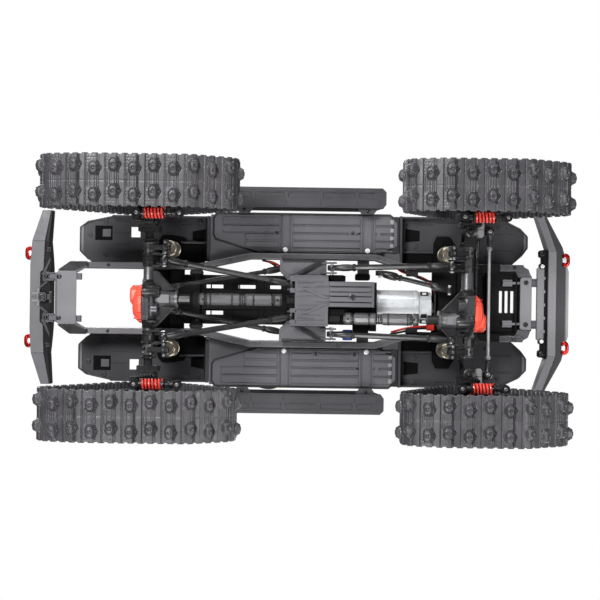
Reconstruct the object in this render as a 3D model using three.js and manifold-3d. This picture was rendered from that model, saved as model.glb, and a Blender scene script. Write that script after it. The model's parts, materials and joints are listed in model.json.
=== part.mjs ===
// A radio-controlled trail crawler chassis on four triangular track units.
// Millimetres. +X is forward, +Y is left, +Z is up, and Z = 0 is the ground under the belts.
import * as THREE from 'three';
import { mergeVertices } from 'three/addons/utils/BufferGeometryUtils.js';
import Module from 'manifold-3d';

const wasm = await Module();
wasm.setup();

// ---------------------------------------------------------------- driving dimensions

const LEFT = 1;
const RIGHT = -1;
const SIDES = [['left', LEFT], ['right', RIGHT]];

const REAR_AXLE_X = -150;
const FRONT_AXLE_X = 175;
const AXLE_Z = 106;
const SPROCKET_Z = 92;
const TRACK_Y = 110.5;
const GAP = 0.5;

const BELT = { halfWidth: 25, thickness: 3.5, lug: 6, pitch: 18.8, lugShare: 0.42 };
const SPROCKET = { radius: 30.5, teeth: 12, toothDepth: 4, near: 98, far: 122, shaft: 5, nut: 6.5 };
const IDLER = { radius: 17, near: 97, far: 124, axle: 3, sides: 20 };
const ROLLER = { radius: 12, axle: 2.4 };
const FRAME_PLATES = { inner: [91, 94.5], outer: [126, 129.5], bar: 5, hub: 15 };
const BELT_DEPTH = BELT.thickness + BELT.lug;

// Wheel places of each track, along X from its axle, and how far each end wheel is lifted.
const TRACKS = {
  front: { axleX: FRONT_AXLE_X, idlers: { rear: [-51.8, 6], front: [67.8, 18] }, rollers: [-30, 4, 38] },
  rear: { axleX: REAR_AXLE_X, idlers: { rear: [-73.8, 6], front: [72.7, 16] }, rollers: [-50, -2, 46] },
};

const RAIL = { width: 6.5, web: 2.2, flange: 2.5, bottom: 134, top: 158 };
const RAIL_INNER_EDGE = [[-236, 31], [-101, 31], [-48, 42.8], [83, 42.8], [112, 34], [238, 34]];
const RAIL_INNER_EDGE_AT_PAN = [[108, 35.3], [83, 42.8], [-48, 42.8], [-91, 33.3]];

const SKID = { bottom: 106, thickness: 4, rear: -1, front: 33, half: 26, tongueFront: 80, tongue: [-20, 6] };
const WING = { bottom: 122, thickness: 4, rear: -17, front: 31, far: 42.3 };
const OUTPUT_Z = 116;
const FRONT_SHAFT_Y = 18;
const SHAFT_JOINTS = { rear: [-16, -103], front: [51, 129] };
const MOTOR = { y: 5.7, z: 151, radius: 18, rear: 84.5, canFront: 128, front: 145 };

const TRAY = { rear: -133, front: -6, half: 26, bottom: 150, thickness: 3, wallTop: 157 };
const PAN = { rear: -87, front: 106, near: 51, far: 90, bottom: 148, thickness: 3 };
const PAN_BASE = { rear: -91, front: 108, bottom: 150, thickness: 3 };
const GROOVE = { width: 1.3, depth: 0.8 };
const SLIDER = { rear: -72, front: 93, near: 97, far: 118, bottom: 130, top: 140 };
const FENDER = { bottom: 167, thickness: 3, wallBottom: 152, skirtBottom: 158, near: 41, recess: 2 };
const SHOCKS = { rear: [-131, 52], front: [157.5, 50] };
const SHOCK = { radius: 7, bore: 3.4, rod: 1.6, bottom: 121, boreTop: 152, top: 164, beam: [158.5, 166] };

const LINKS = {
  rear_lower_link: { chassis: [-4, 16.5, OUTPUT_Z], axle: [-134, 39.5, 100], radius: 3 },
  rear_upper_link: { chassis: [-11, 34, 141], axle: [-141, 10, 125], radius: 2.4 },
  front_lower_link: { chassis: [37, 34, OUTPUT_Z], axle: [158, 37.5, 100], radius: 3 },
};
const EYE = { radius: 4, half: 2.4, ear: 1.6, clearance: 2 };

const DRIVESHAFT = { yoke: 6.2, tube: 6.3, boot: 5.2, neck: 4.2 };

const KINGPIN_Y = 72;
const STEERING_ARM = 21.5;
const TIE_ROD_Z = 93;
const HUB = { near: 79.5, far: 84, bossFar: 96.5, boss: 10, drop: 10.5 };
const DAMPER = { y: 85, z: 72, radius: 5.2, rear: -13, front: 38 };
const CASE_WIDTH = 0.68;
const COVER = { face: 5.4, depth: 12.4, halfHeight: 16, rear: [-14, 25], front: [-8, 30] };
const BUMPER = { bottom: 138, top: 162 };
const SERVO = { rear: 167, front: 205, half: 20, ears: 25, bottom: 154, top: 174, shaftY: -10 };
const REAR_MOUNT = { end: -251, front: -218, bottom: 129.5, thickness: 4, half: 27, railHalf: 38 };

// ---------------------------------------------------------------- materials

const material = (color, roughness, metalness) => (
  new THREE.MeshStandardMaterial({ color, roughness, metalness }));
const PANEL = material(0x4a494e, 0.62, 0);
const BLACK_PLASTIC = material(0x232325, 0.5, 0);
const BUMPER_GREY = material(0x5c5b60, 0.6, 0);
const RUBBER = material(0x3a393c, 0.85, 0);
const RED_PLASTIC = material(0xd8432f, 0.45, 0);
const RED_METAL = material(0xc0201a, 0.35, 0.6);
const STEEL = material(0xc9ccd0, 0.3, 0.9);

// ---------------------------------------------------------------- solids

// A closed three.js geometry as a manifold-3d solid, without its zero-area triangles.
function solid(geometry) {
  geometry.deleteAttribute('normal');
  geometry.deleteAttribute('uv');
  const merged = mergeVertices(geometry, 1e-4);
  const corners = merged.index.array;
  const kept = [];
  for (let i = 0; i < corners.length; i += 3) {
    const [a, b, c] = [corners[i], corners[i + 1], corners[i + 2]];
    if (a !== b && b !== c && c !== a) {
      kept.push(a, b, c);
    }
  }
  return new wasm.Manifold(new wasm.Mesh({
    numProp: 3,
    vertProperties: new Float32Array(merged.attributes.position.array),
    triVerts: new Uint32Array(kept),
  }));
}

const join = (...parts) => parts.flat(Infinity).reduce((whole, part) => whole.add(part));
const cut = (body, ...tools) => tools.flat(Infinity).reduce((whole, tool) => whole.subtract(tool), body);

// The Y range between two distances from the centre plane, on one side.
const across = (side, near, far) => [side * near, side * far];

// A box between two values along each axis, given in either order.
function box(x, y, z) {
  const size = [x, y, z].map(([a, b]) => Math.abs(b - a));
  const centre = [x, y, z].map(([a, b]) => (a + b) / 2);
  return solid(new THREE.BoxGeometry(...size).translate(...centre));
}

function extruded(points, depth, holes = []) {
  const shape = new THREE.Shape(points.map(([u, v]) => new THREE.Vector2(u, v)));
  shape.holes = holes.map((hole) => new THREE.Path(hole.map(([u, v]) => new THREE.Vector2(u, v))));
  return new THREE.ExtrudeGeometry(shape, { depth, bevelEnabled: false });
}

// An outline of [x, y] points carried along Z.
function prismZ(points, [z0, z1], holes) {
  return solid(extruded(points, z1 - z0, holes).translate(0, 0, z0));
}

// An outline of [x, z] points carried along Y.
function prismY(points, [y0, y1], holes) {
  const geometry = extruded(points, Math.abs(y1 - y0), holes).rotateX(Math.PI / 2);
  return solid(geometry.translate(0, Math.max(y0, y1), 0));
}

// A profile of [radius, distance] points turned about the line that leaves `from` towards `to`.
function turned(profile, from, to, sides = 12) {
  const start = new THREE.Vector3(...from);
  const direction = new THREE.Vector3(...to).sub(start).normalize();
  const geometry = new THREE.LatheGeometry(profile.map(([r, d]) => new THREE.Vector2(r, d)), sides);
  geometry.applyQuaternion(new THREE.Quaternion().setFromUnitVectors(new THREE.Vector3(0, 1, 0), direction));
  return solid(geometry.translate(...from));
}

// A round bar between two points, tapered where `endRadius` differs.
function rod(from, to, radius, sides = 10, endRadius = radius) {
  const length = new THREE.Vector3(...from).distanceTo(new THREE.Vector3(...to));
  return turned([[0, 0], [radius, 0], [endRadius, length], [0, length]], from, to, sides);
}

// A round bar along Y at (x, z).
const pin = (x, [y0, y1], z, radius, sides) => rod([x, y0, z], [x, y1, z], radius, sides);

// A flat bar with round ends between two [x, z] points.
function bar([x0, z0], [x1, z1], half, y) {
  const heading = Math.atan2(z1 - z0, x1 - x0);
  const steps = 4;
  const end = (x, z, start) => Array.from({ length: steps + 1 }, (_, i) => {
    const angle = start + (Math.PI * i) / steps;
    return [x + half * Math.cos(angle), z + half * Math.sin(angle)];
  });
  return prismY([...end(x1, z1, heading - Math.PI / 2), ...end(x0, z0, heading + Math.PI / 2)], y);
}

// The named mesh of a solid.
function part(name, body, look, [x, y, z] = [0, 0, 0]) {
  const data = body.getMesh();
  const geometry = new THREE.BufferGeometry();
  geometry.setAttribute('position', new THREE.BufferAttribute(data.vertProperties, 3));
  geometry.setIndex(new THREE.BufferAttribute(data.triVerts, 1));
  geometry.computeVertexNormals();
  const mesh = new THREE.Mesh(geometry, look);
  mesh.name = name;
  mesh.position.set(x, y, z);
  return mesh;
}

// ---------------------------------------------------------------- track units

// The wheels that a belt runs round, anticlockwise from the rear idler, about the sprocket's axis.
function beltWheels(track) {
  const floor = BELT_DEPTH - SPROCKET_Z;
  const idler = ([x, lift]) => ({ x, z: floor + IDLER.radius + lift, r: IDLER.radius });
  const roller = (x) => ({ x, z: floor + ROLLER.radius, r: ROLLER.radius });
  const [firstRoller, , lastRoller] = track.rollers;
  return [
    idler(track.idlers.rear), roller(firstRoller), roller(lastRoller), idler(track.idlers.front),
    { x: 0, z: 0, r: SPROCKET.radius },
  ];
}

// The closed line that wraps the wheels at a distance, as points with their outward normals.
function wrap(wheels, distance, stepDegrees) {
  const leaving = wheels.map((wheel, i) => {
    const next = wheels[(i + 1) % wheels.length];
    const reach = Math.hypot(next.x - wheel.x, next.z - wheel.z);
    return Math.atan2(next.z - wheel.z, next.x - wheel.x) - Math.acos((wheel.r - next.r) / reach);
  });
  return wheels.flatMap((wheel, i) => {
    const start = leaving[(i + wheels.length - 1) % wheels.length];
    let turn = leaving[i] - start;
    turn -= 2 * Math.PI * Math.floor(turn / (2 * Math.PI));
    const steps = Math.max(1, Math.ceil(turn / THREE.MathUtils.degToRad(stepDegrees)));
    return Array.from({ length: steps + 1 }, (_, k) => {
      const angle = start + (turn * k) / steps;
      const normal = [Math.cos(angle), Math.sin(angle)];
      const radius = wheel.r + distance;
      return { point: [wheel.x + radius * normal[0], wheel.z + radius * normal[1]], normal };
    });
  });
}

// The belt's outer outline: raised lugs at an even pitch along its outer surface.
function luggedOutline(wheels) {
  const line = wrap(wheels, BELT.thickness, 6);
  const lengths = [0];
  line.forEach(({ point }, i) => {
    const next = line[(i + 1) % line.length].point;
    lengths.push(lengths[i] + Math.hypot(next[0] - point[0], next[1] - point[1]));
  });
  const total = lengths[line.length];
  const at = (distance, height) => {
    const i = Math.min(line.length - 1, lengths.findIndex((length) => length > distance) - 1);
    const [a, b] = [line[i], line[(i + 1) % line.length]];
    const t = (distance - lengths[i]) / (lengths[i + 1] - lengths[i]);
    return [0, 1].map((k) => THREE.MathUtils.lerp(a.point[k] + height * a.normal[k],
      b.point[k] + height * b.normal[k], t));
  };
  const count = Math.round(total / BELT.pitch);
  const pitch = total / count;
  return Array.from({ length: count }, (_, i) => {
    const rise = (i + 1 - BELT.lugShare) * pitch;
    const fall = (i + 0.9999) * pitch;
    return [at(i * pitch + 0.01, 0), at(rise, 0), at(rise, BELT.lug), at(fall, BELT.lug)];
  }).flat();
}

function belt(track) {
  const wheels = beltWheels(track);
  const inside = wrap(wheels, 0, 18).map(({ point }) => point);
  return prismY(luggedOutline(wheels), [-BELT.halfWidth, BELT.halfWidth], [inside]);
}

// Distances from the centre plane as a Y range about the belt's own centre.
const inTrack = (side, [near, far]) => across(side, near - TRACK_Y, far - TRACK_Y);

// Two side plates joined by the axles of the idlers and road wheels, free on the hub.
function trackFrame(side, track) {
  const wheels = beltWheels(track);
  const [rear, firstRoller, lastRoller, front] = wheels;
  const edge = wheels.map(({ x, z }, i) => ({ x, z, r: i < 4 ? FRAME_PLATES.bar : FRAME_PLATES.hub }));
  const outline = wrap(edge, 0, 36).map(({ point }) => point);
  const window = [
    [rear.x + 11, firstRoller.z + 6], [lastRoller.x - 2, lastRoller.z + 6], [front.x - 12, front.z + 1], [17, -17],
    [-17, -17],
  ];
  const bore = (radius) => wrap([{ x: 0, z: 0, r: radius }, { x: 0.01, z: 0, r: radius }], 0, 26)
    .map(({ point }) => point);
  const full = inTrack(side, [FRAME_PLATES.inner[0] + 1, FRAME_PLATES.outer[1] - 1]);
  return join(
    prismY(outline, inTrack(side, FRAME_PLATES.inner), [window, bore(HUB.boss + GAP)]),
    prismY(outline, inTrack(side, FRAME_PLATES.outer), [window, bore(SPROCKET.shaft + GAP)]),
    [rear, front].map(({ x, z }) => pin(x, full, z, IDLER.axle, 8)),
    track.rollers.map((x) => pin(x, full, firstRoller.z, ROLLER.axle, 6)),
  );
}

// A toothed wheel on its stub shaft, with the wheel nut outside the frame.
function sprocket(side) {
  const outline = Array.from({ length: SPROCKET.teeth * 4 }, (_, i) => {
    const high = i % 4 < 2;
    const radius = SPROCKET.radius - GAP - (high ? 0 : SPROCKET.toothDepth);
    const flank = (i % 2 ? 0.32 : -0.32) * (high ? 0.6 : 1);
    const angle = ((Math.floor(i / 2) + flank) * Math.PI) / SPROCKET.teeth;
    return [radius * Math.cos(angle), radius * Math.sin(angle)];
  });
  const outside = FRAME_PLATES.outer[1];
  return join(
    prismY(outline, inTrack(side, [SPROCKET.near, SPROCKET.far])),
    pin(0, inTrack(side, [HUB.bossFar + GAP, outside + 3]), 0, SPROCKET.shaft, 10),
    pin(0, inTrack(side, [outside + GAP, outside + 4]), 0, SPROCKET.nut, 6),
  );
}

function idler(side) {
  const [y0, y1] = inTrack(side, [IDLER.near, IDLER.far]).sort((a, b) => a - b);
  const bore = IDLER.axle + GAP;
  const rim = IDLER.radius - GAP;
  const profile = [[bore, 0], [rim, 0], [rim, y1 - y0], [bore, y1 - y0], [bore, 0]];
  return turned(profile, [0, y0, 0], [0, y1, 0], IDLER.sides);
}

// A spring damper lying along X: an eye at each end, a rod and the wound spring's outer shape.
function damper() {
  const length = DAMPER.front - DAMPER.rear;
  const [eye, neck] = [3.6, 2.4];
  const [springStart, springEnd] = [0.25 * length, 0.64 * length];
  return turned([
    [0, 0], [eye, 0], [neck, 6], [DAMPER.radius, springStart - 2], [DAMPER.radius, springEnd + 2],
    [neck, length - 6], [eye, length], [0, length],
  ], [DAMPER.rear, 0, 0], [DAMPER.front, 0, 0], 8);
}

function trackUnit(end, sideName, side) {
  const track = TRACKS[end];
  const unit = new THREE.Group();
  const name = (piece) => `${end}_${sideName}_${piece}`;
  unit.position.set(track.axleX, side * TRACK_Y, SPROCKET_Z);
  const [rear, , , front] = beltWheels(track);
  unit.add(
    part(name('track_frame'), trackFrame(side, track), BLACK_PLASTIC),
    part(name('belt'), belt(track), RUBBER),
    part(name('sprocket'), sprocket(side), BLACK_PLASTIC),
    part(name('rear_idler'), idler(side), BLACK_PLASTIC, [rear.x, 0, rear.z]),
    part(name('front_idler'), idler(side), BLACK_PLASTIC, [front.x, 0, front.z]),
    part(name('damper'), damper(), RED_METAL, [0, side * (DAMPER.y - TRACK_Y), DAMPER.z - SPROCKET_Z]),
  );
  return unit;
}

// ---------------------------------------------------------------- axles and steering

// The gearcase at a wheel line: a drop box with the round boss that carries the track.
function portal(side, axleX) {
  return join(
    bar([axleX, SPROCKET_Z], [axleX, AXLE_Z + 1], HUB.drop - GAP, across(side, HUB.near, HUB.far)),
    pin(axleX, across(side, HUB.near, HUB.bossFar), SPROCKET_Z, HUB.boss, 20),
    prismY([
      [axleX - 7, SPROCKET_Z - 3], [axleX + DAMPER.rear - 1, DAMPER.z + 2],
      [axleX + DAMPER.rear, DAMPER.z - 4],
      [axleX + DAMPER.rear + 6, DAMPER.z - 4], [axleX + 5, SPROCKET_Z - 5],
    ], across(side, HUB.near - 2, HUB.near)),
    box([axleX - 5, axleX + 4], across(side, HUB.near - 2, HUB.near + 1), [SPROCKET_Z - 5, SPROCKET_Z + 4]),
  );
}

// A pair of ears from a tube to a link's eye.
function linkEars(eye, side, tubeX, tubeZ) {
  const [x, y, z] = eye;
  const inner = EYE.half + EYE.clearance;
  const reach = Math.sign(x - tubeX) * EYE.radius;
  const outline = [
    [tubeX, tubeZ + 4], [tubeX, tubeZ - 4], [x - reach, z - EYE.radius], [x + reach / 2, z - EYE.radius],
    [x + reach, z], [x + reach / 2, z + EYE.radius], [x - reach, z + EYE.radius],
  ];
  return [y - inner - EYE.ear, y + inner].map((near) => (
    prismY(outline, across(side, near, near + EYE.ear))));
}

// Tube, gearcase with its pinion snout, link ears and the shocks' lower rods.
function axleBeam(spec) {
  const { x, forward, gearcase, snoutY, tubeHalf, lower, shock } = spec;
  const [caseNear, caseFar] = gearcase;
  const caseLength = caseFar - caseNear;
  const snoutEnd = [x + forward * 27, snoutY, AXLE_Z];
  const flangeEnd = x + forward * (Math.abs(SHAFT_JOINTS[spec.end][1] - x) - 5);
  const [shockX, shockY] = shock;
  const coverFace = [x - forward * COVER.face, x - forward * 30];
  const gear = turned([
    [0, 0], [8, 0], [15, 6], [16.5, 14], [16.5, caseLength - 12], [8, caseLength], [0, caseLength],
  ], [0, caseNear, AXLE_Z], [0, caseFar, AXLE_Z], 20).scale([CASE_WIDTH, 1, 1]).translate([x, 0, 0]);
  return join(
    cut(gear, box(coverFace, [caseNear - 1, caseFar + 1], [AXLE_Z - 30, AXLE_Z + 30])),
    pin(x, [-tubeHalf, tubeHalf], AXLE_Z, 5.1, 12),
    rod([x, snoutY, AXLE_Z], snoutEnd, 13, 16, 7.5),
    rod([snoutEnd[0] - forward, snoutY, AXLE_Z], [flangeEnd, snoutY, AXLE_Z], 5),
    SIDES.map(([, side]) => [
      linkEars(lower, side, x, AXLE_Z),
      pin(x, across(side, lower[1] - 7, lower[1] + 7), AXLE_Z, 6.6, 12),
      box([x, shockX + forward * 3], across(side, shockY - 2.5, shockY + 2.5), [AXLE_Z - 8, AXLE_Z - 4]),
      rod([shockX, side * shockY, AXLE_Z - 5], [shockX, side * shockY, SHOCK.bottom + 8], SHOCK.rod, 6),
    ]),
  );
}

function rearAxleHousing() {
  const upper = LINKS.rear_upper_link.axle;
  return join(
    axleBeam({
      end: 'rear', x: REAR_AXLE_X, forward: 1, gearcase: [-19, 29], snoutY: 0, tubeHalf: 58,
      lower: LINKS.rear_lower_link.axle, shock: SHOCKS.rear,
    }),
    SIDES.map(([, side]) => [
      linkEars(upper, side, REAR_AXLE_X, AXLE_Z + 8),
      pin(REAR_AXLE_X, across(side, 57, 69), AXLE_Z, 4.4, 12),
      box([REAR_AXLE_X - 10, REAR_AXLE_X + 11.5], across(side, 68, 74), [AXLE_Z - 12, AXLE_Z + 11]),
      box([REAR_AXLE_X - 8, REAR_AXLE_X + 8], across(side, 73, 80), [AXLE_Z - 14, AXLE_Z + 11]),
      portal(side, REAR_AXLE_X),
    ]).flat(),
  );
}

// The front beam ends in forks that hold the steering knuckles.
function frontAxleHousing() {
  return join(
    axleBeam({
      end: 'front', x: FRONT_AXLE_X, forward: -1, gearcase: [-12, 35], snoutY: FRONT_SHAFT_Y, tubeHalf: 58,
      lower: LINKS.front_lower_link.axle, shock: SHOCKS.front,
    }),
    SIDES.map(([, side]) => [
      box([FRONT_AXLE_X - 6, FRONT_AXLE_X + 6], across(side, 56, 62), [AXLE_Z - 18, AXLE_Z + 15]),
      [[AXLE_Z - 18, AXLE_Z - 15], [AXLE_Z + 12, AXLE_Z + 15]].map((z) => join(
        box([FRONT_AXLE_X - 5, FRONT_AXLE_X + 5], across(side, 60, KINGPIN_Y), z),
        rod([FRONT_AXLE_X, side * KINGPIN_Y, z[0]], [FRONT_AXLE_X, side * KINGPIN_Y, z[1]], 5, 12),
      )),
    ]).flat(2),
  );
}

function steeringKnuckle(side) {
  const bottom = AXLE_Z - 15 + GAP;
  const top = AXLE_Z + 12 - GAP;
  const y = side * KINGPIN_Y;
  const armZ = [TIE_ROD_Z + 4, TIE_ROD_Z + 8];
  const tip = FRONT_AXLE_X + STEERING_ARM;
  return join(
    rod([FRONT_AXLE_X, y, bottom], [FRONT_AXLE_X, y, top], 5, 12),
    box([FRONT_AXLE_X - 5, FRONT_AXLE_X + 5], across(side, KINGPIN_Y, HUB.near + 1), [bottom, top]),
    portal(side, FRONT_AXLE_X),
    prismZ([
      [FRONT_AXLE_X, y - side * 3], [tip + 3, y - side * 3], [tip + 3, y + side * 3],
      [FRONT_AXLE_X + 12, y + side * 10], [FRONT_AXLE_X, y + side * 10],
    ], armZ),
  );
}

// A straight rod under the steering arms, with a ball cup at each end.
function tieRod() {
  const x = FRONT_AXLE_X + STEERING_ARM;
  return join(
    pin(x, [-KINGPIN_Y, KINGPIN_Y], TIE_ROD_Z, 1.6, 8),
    SIDES.map(([, side]) => join(
      pin(x, across(side, KINGPIN_Y - 14, KINGPIN_Y - 2), TIE_ROD_Z, 2.4, 8),
      rod([x, side * KINGPIN_Y, TIE_ROD_Z - 2.6], [x, side * KINGPIN_Y, TIE_ROD_Z + 3], 3.4, 10),
    )),
  );
}

// A domed cover bolted to the flat side of a gearcase: an oval dome with a round bulge at one end.
function diffCover(x, direction, [near, far]) {
  const middle = (near + far) / 2;
  const half = COVER.halfHeight;
  const stretch = (far - near) / 2 / half;
  const face = x + direction * (COVER.face + GAP);
  const bulgeY = middle + direction * half * 0.56;
  const bulge = half * 0.62;
  const { depth } = COVER;
  const dome = turned([[0, 0], [half, 0], [half, 3], [half - 3, 7], [half - 7, depth - 3], [0, depth - 2.5]],
    [face, 0, AXLE_Z], [face + direction, 0, AXLE_Z], 16);
  return join(
    dome.scale([1, stretch, 1]).translate([0, middle, 0]),
    turned([[0, 0], [bulge, 0], [bulge, depth - 2], [bulge - 2, depth], [0, depth]],
      [face, bulgeY, AXLE_Z], [face + direction, bulgeY, AXLE_Z], 12),
  );
}

// ---------------------------------------------------------------- links and driveshafts

function link({ chassis, axle, radius }, side) {
  const [from, to] = [chassis, axle].map(([x, y, z]) => [x, side * y, z]);
  const at = (t) => from.map((value, i) => THREE.MathUtils.lerp(value, to[i], t));
  const eye = ([x, y, z]) => pin(x, [y - EYE.half, y + EYE.half], z, EYE.radius, 10);
  return join(eye(from), eye(to), rod(at(0.01), at(0.99), radius, 8));
}

// A telescoping shaft between two universal joints, with a boot where its halves slide.
function driveshaft([joint, end], y) {
  const length = Math.abs(end - joint) - 4;
  const { yoke, tube, boot, neck } = DRIVESHAFT;
  const bootAt = 0.47 * length;
  return turned([
    [0, 0], [yoke, 0], [yoke, 6], [neck, 8], [tube, 10], [tube, bootAt - 4], [boot, bootAt - 3],
    [boot, bootAt + 3], [yoke, bootAt + 4], [yoke, length - 8], [neck, length - 6], [yoke, length - 4],
    [yoke, length], [0, length],
  ], [joint, y, OUTPUT_Z], [end, y, AXLE_Z], 10);
}

// ---------------------------------------------------------------- frame and drive

// A bent channel: an upright web on the inside with a flange below and above it.
function frameRail(side) {
  const outline = (width) => [
    ...RAIL_INNER_EDGE.map(([x, y]) => [x, side * y]),
    ...RAIL_INNER_EDGE.map(([x, y]) => [x, side * (y + width)]).reverse(),
  ];
  return join(
    prismZ(outline(RAIL.web), [RAIL.bottom, RAIL.top]),
    prismZ(outline(RAIL.width), [RAIL.bottom, RAIL.bottom + RAIL.flange]),
    prismZ(outline(RAIL.width), [RAIL.top - RAIL.flange, RAIL.top]),
  );
}

// A groove in a downward face, from one X to another at one Y.
function grooveX([x0, x1], y, faceZ) {
  return box([x0, x1], [y - GROOVE.width / 2, y + GROOVE.width / 2], [faceZ - 1, faceZ + GROOVE.depth]);
}

function grooveY(x, y, faceZ) {
  return box([x - GROOVE.width / 2, x + GROOVE.width / 2], y, [faceZ - 1, faceZ + GROOVE.depth]);
}

// Central skid with a forward tongue, and wings that hang it from the rails.
function skidPlate() {
  const top = SKID.bottom + SKID.thickness;
  const [tongueRight, tongueLeft] = SKID.tongue;
  const plate = prismZ([
    [SKID.rear, -SKID.half], [SKID.front, -SKID.half], [SKID.front, tongueRight], [SKID.tongueFront, tongueRight],
    [SKID.tongueFront, tongueLeft], [SKID.front, tongueLeft], [SKID.front, SKID.half], [SKID.rear, SKID.half],
  ], [SKID.bottom, top]);
  const lowerEye = LINKS.rear_lower_link.chassis;
  const frontEye = LINKS.front_lower_link.chassis;
  const upperEye = LINKS.rear_upper_link.chassis;
  const inner = EYE.half + EYE.clearance;
  const ear = (side, [x, y, z], root) => [y - inner - EYE.ear, y + inner].map((near) => (
    bar([x, z], root, EYE.radius + 1, across(side, near, near + EYE.ear))));
  const wingTop = WING.bottom + WING.thickness;
  const sides = SIDES.map(([, side]) => [
    prismZ([
      [WING.rear + 8, side * 21], [WING.front, side * 21], [WING.front, side * WING.far],
      [WING.rear, side * WING.far], [WING.rear, side * 30],
    ], [WING.bottom, wingTop]),
    box([SKID.rear + 3, SKID.front - 1], across(side, SKID.half - 2.5, SKID.half), [SKID.bottom + 1, wingTop]),
    ear(side, lowerEye, [SKID.rear, SKID.bottom + 6]),
    ear(side, frontEye, [WING.front - 1, wingTop - 5]),
    ear(side, upperEye, [upperEye[0] + 2, WING.bottom + 5]),
    box([WING.rear + 4, WING.rear + 12], across(side, WING.far - 3, WING.far), [WING.bottom + 1, RAIL.bottom + 16]),
  ]).flat(2);
  const grooves = [
    ...[-14.6, -4.7, 1.3].map((y) => grooveX([SKID.front - 12, SKID.tongueFront - 3], y, SKID.bottom)),
    ...[-18, -9, 9, 18].map((y) => grooveX([SKID.rear + 3, SKID.front - 14], y, SKID.bottom)),
    grooveY(SKID.front + 12, SKID.tongue, SKID.bottom),
  ];
  return cut(join(plate, sides), grooves);
}

// Transfer case below, gearbox above, both output flanges and the motor plate.
function gearboxHousing() {
  const flange = (from, to, y) => rod([from, y, OUTPUT_Z], [to, y, OUTPUT_Z], 5, 12);
  return join(
    box([5, 32], [-20.5, 20.5], [SKID.bottom + SKID.thickness + GAP, 140]),
    prismY([[2, 134], [12, 130], [77.5, 130], [77.5, 168], [60, 172], [20, 172], [5, 160]], [-28, 24]),
    box([76, MOTOR.rear - GAP], [-20, 31], [129, 172]),
    flange(5, SHAFT_JOINTS.rear[0] + 6, 0),
    flange(30, SHAFT_JOINTS.front[0] - 6, FRONT_SHAFT_Y),
  );
}

function motor() {
  const { y, z, radius, rear, canFront, front } = MOTOR;
  const can = canFront - rear;
  return turned([
    [0, 0], [radius, 0], [radius, can], [radius - 1.5, can + 0.5], [radius - 1.5, front - rear - 3],
    [6, front - rear - 2], [6, front - rear], [0, front - rear],
  ], [rear, y, z], [front, y, z], 24);
}

// A slotted deck between the rails with low side walls.
function batteryTray() {
  const top = TRAY.bottom + TRAY.thickness;
  const slots = [[-95, -77], [-61, -43], [-27.5, -16]].map((x) => (
    box(x, [-15.6, -11.9], [TRAY.bottom - 1, top + 1])));
  const rail = RAIL_INNER_EDGE[1][1];
  return cut(
    join(
      box([TRAY.rear, TRAY.front], [-TRAY.half, TRAY.half], [TRAY.bottom, top]),
      SIDES.map(([, side]) => box([TRAY.rear, TRAY.front], across(side, TRAY.half - 2, TRAY.half),
        [TRAY.bottom, TRAY.wallTop])),
      box([-109, -101], [GAP - rail, rail - GAP], [TRAY.bottom - 6, TRAY.bottom + 1]),
    ),
    slots,
    box([-95, -77], [12, 16], [TRAY.bottom - 1, top + 1]),
  );
}

function floorPan(side) {
  const { rear, front, near, far, bottom, thickness } = PAN;
  const plate = prismZ([
    [rear, far - 4], [rear + 3, far], [front - 8, far], [front, far - 7], [front, near + 8], [front - 18, near],
    [rear + 48, near], [rear + 2, near + 14], [rear, near + 18],
  ].map(([x, y]) => [x, side * y]), [bottom, bottom + thickness]);
  const straps = [[-16, -7], [70, 80]];
  const runs = [[-79, -18], [-5, 68], [82, front - 4]];
  const grooves = [55, 63, 71, 79.5].flatMap((y) => runs
    .filter(([x0]) => !(y < near + 14 && x0 < rear + 20))
    .map((run) => grooveX(run, side * y, bottom)));
  const base = prismZ([
    [PAN_BASE.rear, far], [PAN_BASE.front, far],
    ...RAIL_INNER_EDGE_AT_PAN.map(([x, y]) => [x, y + RAIL.width + GAP]),
  ].map(([x, y]) => [x, side * y]), [PAN_BASE.bottom, PAN_BASE.bottom + PAN_BASE.thickness]);
  const holes = [[-38, 83], [66, 72]].map(([x, y]) => (
    rod([x, side * y, bottom - 1], [x, side * y, PAN_BASE.bottom + PAN_BASE.thickness + 1], 1.6, 8)));
  return cut(
    join(base, plate, box([rear + 6, front - 10], across(side, far - 2.5, far), [bottom + 1, bottom + 9])),
    grooves,
    straps.flat().map((x) => grooveY(x, across(side, near - 1, far + 1), bottom)),
    holes,
  );
}

// A side step: a chamfered board with a recessed underside on two legs from the frame.
function rockSlider(side) {
  const { rear, front, near, far, bottom, top } = SLIDER;
  const legTop = PAN.bottom + PAN.thickness + 4.5;
  const board = prismZ([
    [rear, near], [front - 3, near], [front, near + 4], [front, far - 4], [front - 4, far], [rear, far],
  ].map(([x, y]) => [x, side * y]), [bottom, top]);
  const recesses = [[rear + 5, -48], [-43, -14], [-9, 22], [27, 60], [65, front - 12]].map((x) => (
    box(x, across(side, near + 10.5, near + 15.5), [bottom - 1, bottom + 0.9])));
  const legs = [[-60, -50], [68, 80]].map((x) => join(
    box(x, across(side, PAN.far + 1, near + 3), [top - 4, legTop]),
    box(x, across(side, 62, PAN.far + 3), [PAN.bottom + PAN.thickness + 6.5, legTop + 6]),
    box(x, across(side, PAN.far + 1, PAN.far + 3), [legTop - 1, legTop + 6]),
  ));
  return join(cut(board, recesses), legs);
}

// A wheel-arch liner: a plate with a turned-down outer edge and a wall towards the floor pan.
function innerFender(side, outline, wallX, skirtX, far) {
  const top = FENDER.bottom + FENDER.thickness;
  return join(
    prismZ(outline.map(([x, y]) => [x, side * y]), [FENDER.bottom, top]),
    box(wallX, across(side, 42, far), [FENDER.wallBottom, top]),
    box(skirtX, across(side, far - 2, far), [FENDER.skirtBottom, top]),
  );
}

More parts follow.
